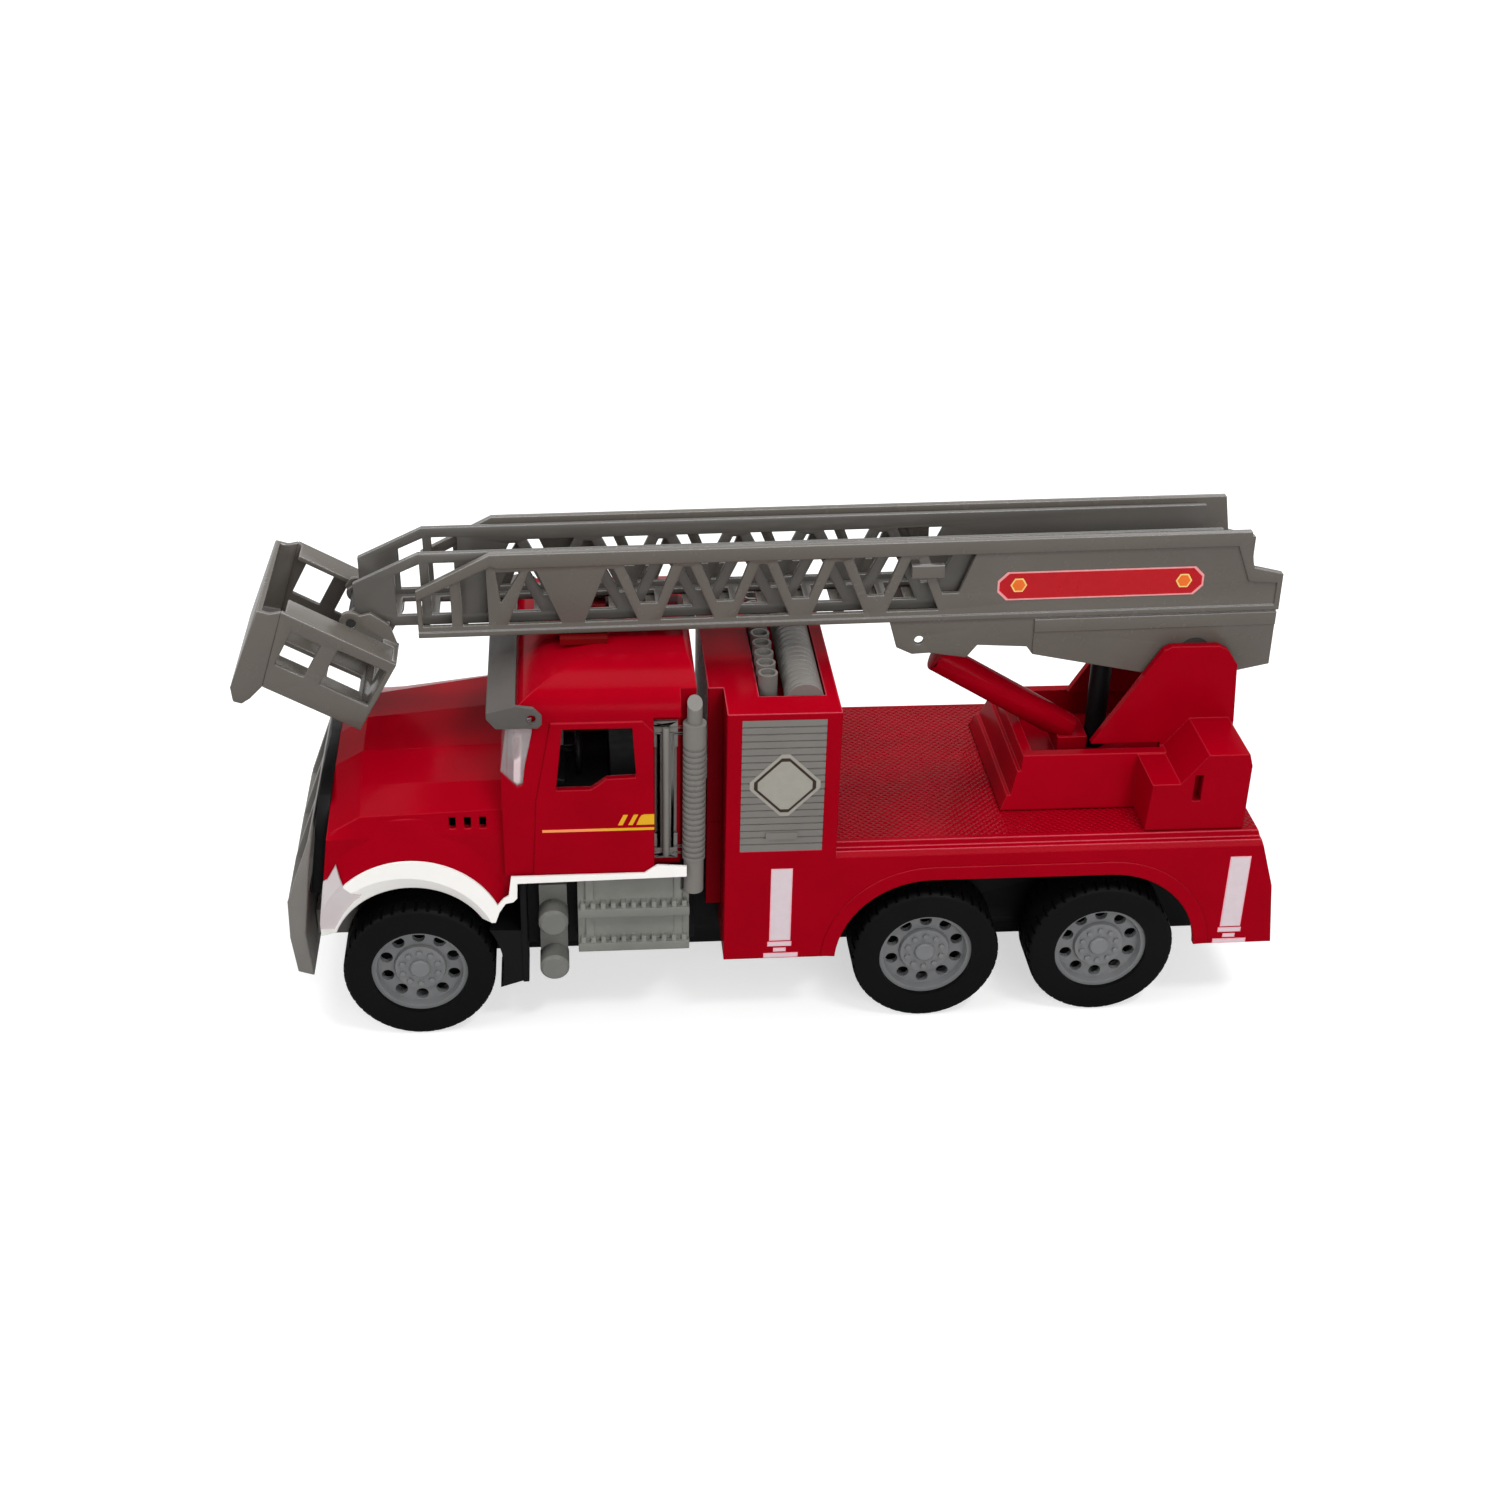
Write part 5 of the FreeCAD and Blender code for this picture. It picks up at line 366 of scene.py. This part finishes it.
FINISHES = {
    "black_plastic": black,
    "white_plastic": white,
    "clear_plastic": lens_clear,
    "visor_grey": visor_grey,
    "silver_plastic": silver,
    "lamp_red": lamp_red,
    "tank_grey_green": tank_grey,
    "tank_grey": dark_tank,
    "ladder_grey": ladder_grey,
    "pin_grey": pin_grey,
    "tyre_rubber": rubber,
    "rim_grey": rim_grey,
    "axle_steel": steel,
    "red_plastic": red,
}
for name, part in frame["nodes"].items():
    material = FINISHES[slot_of_node[name]]
    if name == "windscreen":
        material = glass
    elif name == "rear_body":
        material = red_deck
    for socket in part.material_slots:
        socket.material = material
    only(part)
    bpy.ops.object.shade_smooth_by_angle(angle=SMOOTH_ANGLE)


# ---- stickers, stripes and small mouldings --------------------------------------------------------


def printed(name, colour, deep):
    """Printed film: even ink with a faint mottle under a satin skin."""
    return moulded(name, colour, deep, rough=0.32, gloss=0.2, grain=0.01, swirl=400)


def flame_print():
    """Film printed from orange at the front of the door to gold at its rear."""
    material, tree, shader, place = new_material("flame_print")
    split = add_node(tree, "ShaderNodeSeparateXYZ", Vector=place)
    mottle = add_node(tree, "ShaderNodeMath", operation="MULTIPLY_ADD")
    tree.links.new(noise(tree, place, 500, 2), mottle.inputs[0])
    mottle.inputs[1].default_value = 0.002
    tree.links.new(split.outputs["X"], mottle.inputs[2])
    along = map_range(tree, mottle.outputs["Value"], 0.036, 0.069, 0, 1)
    tree.links.new(
        blend_colours(tree, along, linear(214, 160, 22), linear(236, 142, 84)), shader.inputs["Base Color"]
    )
    shader.inputs["Roughness"].default_value = 0.34
    shader.inputs["Specular IOR Level"].default_value = 0.2
    return material


flame = flame_print()
plate_grey = printed("plate_grey", linear(150, 147, 138), linear(144, 141, 132))
line_brown = printed("line_brown", linear(52, 38, 32), linear(44, 32, 27))
stripe_white = printed("stripe_white", linear(208, 194, 199), linear(202, 187, 193))
stripe_pink = printed("stripe_pink", linear(232, 170, 180), linear(224, 158, 170))
label_red = printed("label_red", linear(176, 14, 26), linear(168, 10, 22))
label_pale = printed("label_pale", linear(226, 150, 150), linear(218, 140, 142))
badge_yellow = printed("badge_yellow", linear(232, 206, 120), linear(226, 198, 110))
badge_orange = printed("badge_orange", linear(226, 110, 40), linear(218, 100, 34))


# millimetres: the rear body's side, how deep a film's back lies under a skin, how far ink stands out of it
BODY_FACE = 45.8
SUNK = 0.3
EDGE_RISE = 0.08
INK_RISE = 0.14


def face_at(name, x, z):
    """How far out a solid's skin lies on the left, at a place given along and up, in millimetres."""
    start = Vector((x * MM, 0.1, z * MM))
    met, place, _, _ = frame["nodes"][name].ray_cast(start, Vector((0, -1, 0)))
    if not met:
        raise ValueError("nothing of %s at %.1f, %.1f" % (name, x, z))
    return place.y / MM


def drawn(name, points, low, high, body, material):
    """A thin plate on the left, drawn point by point along and up, its faces at two distances out."""
    bpy.ops.object.select_all(action="DESELECT")
    bpy.ops.mesh.primitive_plane_add(size=MM, location=(0, 0, 0))
    piece = bpy.context.object
    piece.name = name
    bpy.ops.object.mode_set(mode="EDIT")
    bpy.ops.mesh.select_mode(type="VERT")
    bpy.ops.mesh.select_all(action="SELECT")
    bpy.ops.mesh.merge(type="CENTER")
    bpy.ops.transform.translate(value=(points[0][0] * MM, low * MM, points[0][1] * MM))
    for before, after in zip(points, points[1:]):
        step = ((after[0] - before[0]) * MM, 0, (after[1] - before[1]) * MM)
        bpy.ops.mesh.extrude_vertices_move(TRANSFORM_OT_translate={"value": step})
    bpy.ops.mesh.select_all(action="SELECT")
    bpy.ops.mesh.edge_face_add()
    bpy.ops.mesh.extrude_region_move(TRANSFORM_OT_translate={"value": (0, (high - low) * MM, 0)})
    bpy.ops.mesh.select_all(action="SELECT")
    bpy.ops.mesh.normals_make_consistent(inside=False)
    bpy.ops.object.mode_set(mode="OBJECT")
    finish_piece(piece, body, material)
    return piece


def other_side(piece, name, body, material):
    """The same piece on the right, with its own mesh."""
    twin = bpy.data.objects.new(name, piece.data.copy())
    bpy.context.scene.collection.objects.link(twin)
    only(twin)
    bpy.ops.object.mode_set(mode="EDIT")
    bpy.ops.mesh.select_all(action="SELECT")
    bpy.ops.transform.resize(value=(1, -1, 1), center_override=(0, 0, 0))
    bpy.ops.mesh.normals_make_consistent(inside=False)
    bpy.ops.object.mode_set(mode="OBJECT")
    finish_piece(twin, body, material)


def on_both_sides(name, points, low, high, body, material):
    left = drawn(name + "_left", points, low, high, body, material)
    other_side(left, name + "_right", body, material)


def corners(rear, front, low, high):
    return [(rear, low), (front, low), (front, high), (rear, high)]


def arc(x, z, radius, start, end, steps):
    """Points on an arc, its angles in degrees from straight ahead towards up."""
    turns = [math.radians(start + (end - start) * number / steps) for number in range(steps + 1)]
    return [(x + radius * math.cos(turn), z + radius * math.sin(turn)) for turn in turns]


def ring(x, z, radius):
    """The corners of a disc."""
    return arc(x, z, radius, 0, 345, 23)


def moved(points, x, z):
    return [(x + across, z + up) for across, up in points]


def middle_of(name):
    """The middle of a node's box, in millimetres."""
    low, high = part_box(name)
    return [(first + second) / 2 / MM for first, second in zip(low, high)]


def door_stickers():
    """A block, two slashes and a line on each door."""
    film = face_at("cab_shell", 45, 75)
    rise = 0.12
    shapes = {
        "door_line": corners(35.94, 68.84, 72.05, 72.9),
        "door_slash_front": [(45.29, 73.9), (46.66, 73.9), (45.03, 77.4), (43.66, 77.4)],
        "door_slash_rear": [(42.32, 73.9), (43.62, 73.9), (41.95, 77.4), (40.65, 77.4)],
        "door_block": [(35.94, 73.9), (41.2, 73.9), (40.3, 76.2), (39.7, 77.1), (38.98, 77.4), (35.94, 77.4)],
    }
    for name, points in shapes.items():
        on_both_sides(name, points, film - SUNK, film + rise, "truck", flame)


def shutter_signs():
    """A blank plate on a corner, with a dark line round it, on each shutter."""
    x, _, z = middle_of("shutter_left")
    x, z = x - 0.6, z + 0.45
    reach, soft = 11.3, 1.2
    layers = (
        ("shutter_sign", 0, 0.10, "silver_plastic", plate_grey),
        ("shutter_sign_line", 1.3, 0.16, "black_plastic", line_brown),
        ("shutter_sign_field", 2.4, 0.22, "silver_plastic", plate_grey),
    )
    for name, border, rise, slot, material in layers:
        half = reach - border
        near = half - soft * 0.7
        far = -half + soft * 0.7
        outline = [
            (far, -soft), (-soft, far), (soft, far), (near, -soft),
            (near, soft), (soft, near), (-soft, near), (far, soft),
        ]
        on_both_sides(name, moved(outline, x, z), BODY_FACE - SUNK, BODY_FACE + rise, "truck", material)


def post_stripes():
    """White posts printed on the rear body's sides, each on a stepped foot, with a pale red edge."""
    back = BODY_FACE - SUNK
    border = 0.35
    for place, front, low, high in (("front", 0.94, 31.5, 57.6), ("rear", -140.46, 31.3, 57.1)):
        parts = {
            "bar": (front - 6.5, front, low, high),
            "collar": (front - 6.86, front + 0.5, low - 2.1, low - 0.4),
            "neck": (front - 5.2, front - 1.3, low - 4.1, low - 2.7),
            "foot": (front - 8.94, front + 1.66, low - 6.3, low - 4.6),
        }
        for part, (rear_x, front_x, low_z, high_z) in parts.items():
            name = "post_%s_%s" % (place, part)
            edge = corners(rear_x, front_x, low_z, high_z)
            inner = corners(rear_x + border, front_x - border, low_z + border, high_z - border)
            on_both_sides(name + "_edge", edge, back, BODY_FACE + EDGE_RISE, "truck", stripe_pink)
            on_both_sides(name, inner, back, BODY_FACE + INK_RISE, "truck", stripe_white)


def mudguards():
    """Black guards that follow the front tyres from behind."""
    radius, upper_end, lower_end = 25.4, 148, 198
    foot, top = 17.4, 36.0
    inboard, outboard = 27.0, 42.6
    axle_x, _, axle_z = middle_of("axle_front")
    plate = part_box("cab_floor")[1][0] / MM - SUNK
    guard = arc(axle_x, axle_z, radius, upper_end, lower_end, 10) + [(plate, foot), (plate, top)]
    on_both_sides("mudguard", guard, inboard, outboard, "truck", black)


def handle_panels():
    """Silver panels behind the grab handles."""
    side_gap, end_gap, sunk, rise = 0.3, 0.6, 0.4, 0.25
    low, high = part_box("grab_handle_left")
    rear, front, foot, top = (value / MM for value in (low[0], high[0], low[2], high[2]))
    face = low[1] / MM
    panel = corners(rear + side_gap, front - side_gap, foot + end_gap, top - end_gap)
    on_both_sides("handle_panel", panel, face - sunk, face + rise, "truck", silver)


def wheel_shade_discs():
    """Black discs behind the rims' openings: painted shade that stands for the dark inside of the wheels."""
    radius, inboard, outboard = 13.4, 35.0, 35.8
    for axle in ("front", "middle", "rear"):
        x, _, z = middle_of("axle_" + axle)
        disc = ring(x, z, radius)
        on_both_sides("wheel_shade_disc_" + axle, disc, inboard, outboard, axle + "_wheels", black)


def arch_lips():
    """A flat raised lip round the rear wheel arches."""
    outer_radius, inner_radius, front_end, rear_end, steps = 33.5, 29.0, 4, 176, 14
    inboard, outboard = 45.2, 46.1
    first, axle_z = middle_of("axle_middle")[0], middle_of("axle_middle")[2]
    last = middle_of("axle_rear")[0]
    over_rear = arc(last, axle_z, outer_radius, rear_end, 90, steps)
    over_middle = arc(first, axle_z, outer_radius, 90, front_end, steps)
    under_middle = arc(first, axle_z, inner_radius, front_end, 90, steps)
    under_rear = arc(last, axle_z, inner_radius, 90, rear_end, steps)
    lip = over_rear + over_middle + under_middle + under_rear
    on_both_sides("arch_lip", lip, inboard, outboard, "truck", red)


# how far the ladder dips towards its tip at rest
LADDER_LEAN = math.radians(0.9)


def ladder_place(along, up):
    """A place on the ladder, given from its pivot along its rails and square to them."""
    x, _, z = middle_of("lift_pin")
    return (
        x + along * math.cos(LADDER_LEAN) + up * math.sin(LADDER_LEAN),
        z - along * math.sin(LADDER_LEAN) + up * math.cos(LADDER_LEAN),
    )


def ladder_labels():
    """A blank red label with pointed ends and two badges on each rail, and a boss at the pivot."""
    def shape(points):
        return [ladder_place(*point) for point in points]

    def cut_corners(rear, front, low, high):
        cut = 2.8
        return shape([
            (rear, low + cut), (rear + cut, low), (front - cut, low), (front, low + cut),
            (front, high - cut), (front - cut, high), (rear + cut, high), (rear, high - cut),
        ])

    face = 14.2
    back = face - SUNK
    labels = (
        ("label_edge", (-0.3, 62.4, 19.6, 28.8), EDGE_RISE, label_pale),
        ("label", (0.3, 61.8, 20.1, 28.3), INK_RISE, label_red),
    )
    for name, reach, rise, material in labels:
        on_both_sides(name, cut_corners(*reach), back, face + rise, "ladder", material)
    for place, x, z in (("front", 56.0, 24.5), ("rear", 5.8, 24.3)):
        for part, radius, rise, material in (("ring", 2.5, 0.2, badge_yellow), ("field", 2.0, 0.26, badge_orange)):
            name = "badge_%s_%s" % (part, place)
            hexagon = shape(arc(x, z, radius, 0, 300, 5))
            on_both_sides(name, hexagon, back, face + rise, "ladder", material)
    boss_radius, boss_back, boss_face = 5.2, 14.9, 15.35
    boss = shape(ring(0, 0, boss_radius))
    on_both_sides("pivot_boss", boss, boss_back, boss_face, "ladder", pin_grey)


door_stickers()
shutter_signs()
post_stripes()
arch_lips()
wheel_shade_discs()
handle_panels()
mudguards()
ladder_labels()


# ---- camera and studio ---------------------------------------------------------------------------

SENSOR_WIDTH = 36
FOCAL_LENGTH = 49.05
CAMERA_PLACE = (0.05929, 0.56168, 0.39434)
# yaw, pitch and roll, in degrees
CAMERA_TURN = (-5.85, 29.84, 1.48)
FLOOR_SIZE = 20
# the floor's glow to the camera: its distances from the middle, and its strengths there
GLOW_NEAR, GLOW_FAR = 0.3, 1.0
GLOW_LOW, GLOW_HIGH = 0.6, 1.0
# the sky's strength as light, and as seen or mirrored
SKY_LIGHT, SKY_SEEN = 0.4, 1.0


def make_camera():
    lens = bpy.data.cameras.new("camera")
    lens.sensor_width = SENSOR_WIDTH
    lens.lens = FOCAL_LENGTH
    lens.clip_start = 0.01
    camera = bpy.data.objects.new("camera", lens)
    bpy.context.scene.collection.objects.link(camera)
    yaw, pitch, roll = (math.radians(angle) for angle in CAMERA_TURN)
    level = Vector((math.sin(yaw), -math.cos(yaw), 0))
    ahead = level * math.cos(pitch) - Vector((0, 0, math.sin(pitch)))
    right = level.cross(Vector((0, 0, 1)))
    up = right.cross(ahead)
    across = right * math.cos(roll) + up * math.sin(roll)
    upward = up * math.cos(roll) - right * math.sin(roll)
    turn = Matrix((across, upward, -ahead)).transposed().to_4x4()
    camera.matrix_world = Matrix.Translation(CAMERA_PLACE) @ turn
    bpy.context.scene.camera = camera


def soft_box(name, place, target, size, power):
    lamp = bpy.data.lights.new(name, "AREA")
    lamp.shape = "RECTANGLE"
    lamp.size, lamp.size_y = size
    lamp.energy = power
    light = bpy.data.objects.new(name, lamp)
    bpy.context.scene.collection.objects.link(light)
    light.location = place
    light.rotation_euler = (Vector(target) - Vector(place)).to_track_quat("-Z", "Y").to_euler()


def make_floor():
    """A pale floor that the camera sees grow brighter with distance."""
    bpy.ops.object.select_all(action="DESELECT")
    bpy.ops.mesh.primitive_plane_add(size=FLOOR_SIZE, location=(0, 0, 0))
    floor = bpy.context.object
    floor.name = "floor"
    material = bpy.data.materials.new("pale_floor")
    material.use_nodes = True
    tree = material.node_tree
    shader = tree.nodes["Principled BSDF"]
    shader.inputs["Base Color"].default_value = (0.55, 0.55, 0.55, 1)
    shader.inputs["Roughness"].default_value = 0.9
    shader.inputs["Specular IOR Level"].default_value = 0.1
    seen = add_node(tree, "ShaderNodeLightPath").outputs["Is Camera Ray"]
    shader.inputs["Emission Color"].default_value = (1, 1, 1, 1)
    spot = add_node(tree, "ShaderNodeTexCoord").outputs["Object"]
    reach = add_node(tree, "ShaderNodeVectorMath", operation="LENGTH")
    tree.links.new(spot, reach.inputs[0])
    lit = add_node(tree, "ShaderNodeMath", operation="MULTIPLY")
    tree.links.new(seen, lit.inputs[0])
    glow = map_range(tree, reach.outputs["Value"], GLOW_NEAR, GLOW_FAR, GLOW_LOW, GLOW_HIGH)
    tree.links.new(glow, lit.inputs[1])
    tree.links.new(lit.outputs["Value"], shader.inputs["Emission Strength"])
    floor.data.materials.append(material)


def make_world():
    """A white sky, dimmer as light than where it is seen or mirrored."""
    world = bpy.data.worlds.new("studio")
    bpy.context.scene.world = world
    world.use_nodes = True
    tree = world.node_tree
    background = tree.nodes["Background"]
    path = add_node(tree, "ShaderNodeLightPath")
    direct = path.outputs["Is Camera Ray"]
    for ray in ("Is Transmission Ray", "Is Glossy Ray"):
        either = add_node(tree, "ShaderNodeMath", operation="MAXIMUM")
        tree.links.new(direct, either.inputs[0])
        tree.links.new(path.outputs[ray], either.inputs[1])
        direct = either.outputs["Value"]
    strength = map_range(tree, direct, 0, 1, SKY_LIGHT, SKY_SEEN)
    tree.links.new(strength, background.inputs["Strength"])
    background.inputs["Color"].default_value = (1, 1, 1, 1)


def make_lights():
    """Soft boxes overhead, ahead and on the near side, and a narrow strip."""
    soft_box("overhead_box", (0.0, -0.25, 1.3), (0, 0, 0.08), (1.4, 0.7), 12.5)
    soft_box("front_box", (1.1, 0.5, 0.9), (0.05, 0, 0.06), (0.6, 0.6), 6)
    soft_box("near_box", (-0.4, 1.4, 0.7), (0, 0, 0.06), (0.9, 0.5), 9)
    soft_box("strip_box", (-0.36, 0.53, 1.02), (0, 0, 0.08), (0.3, 0.08), 3.5)


make_camera()
make_floor()
make_world()
make_lights()
bpy.context.scene.view_settings.view_transform = "Standard"
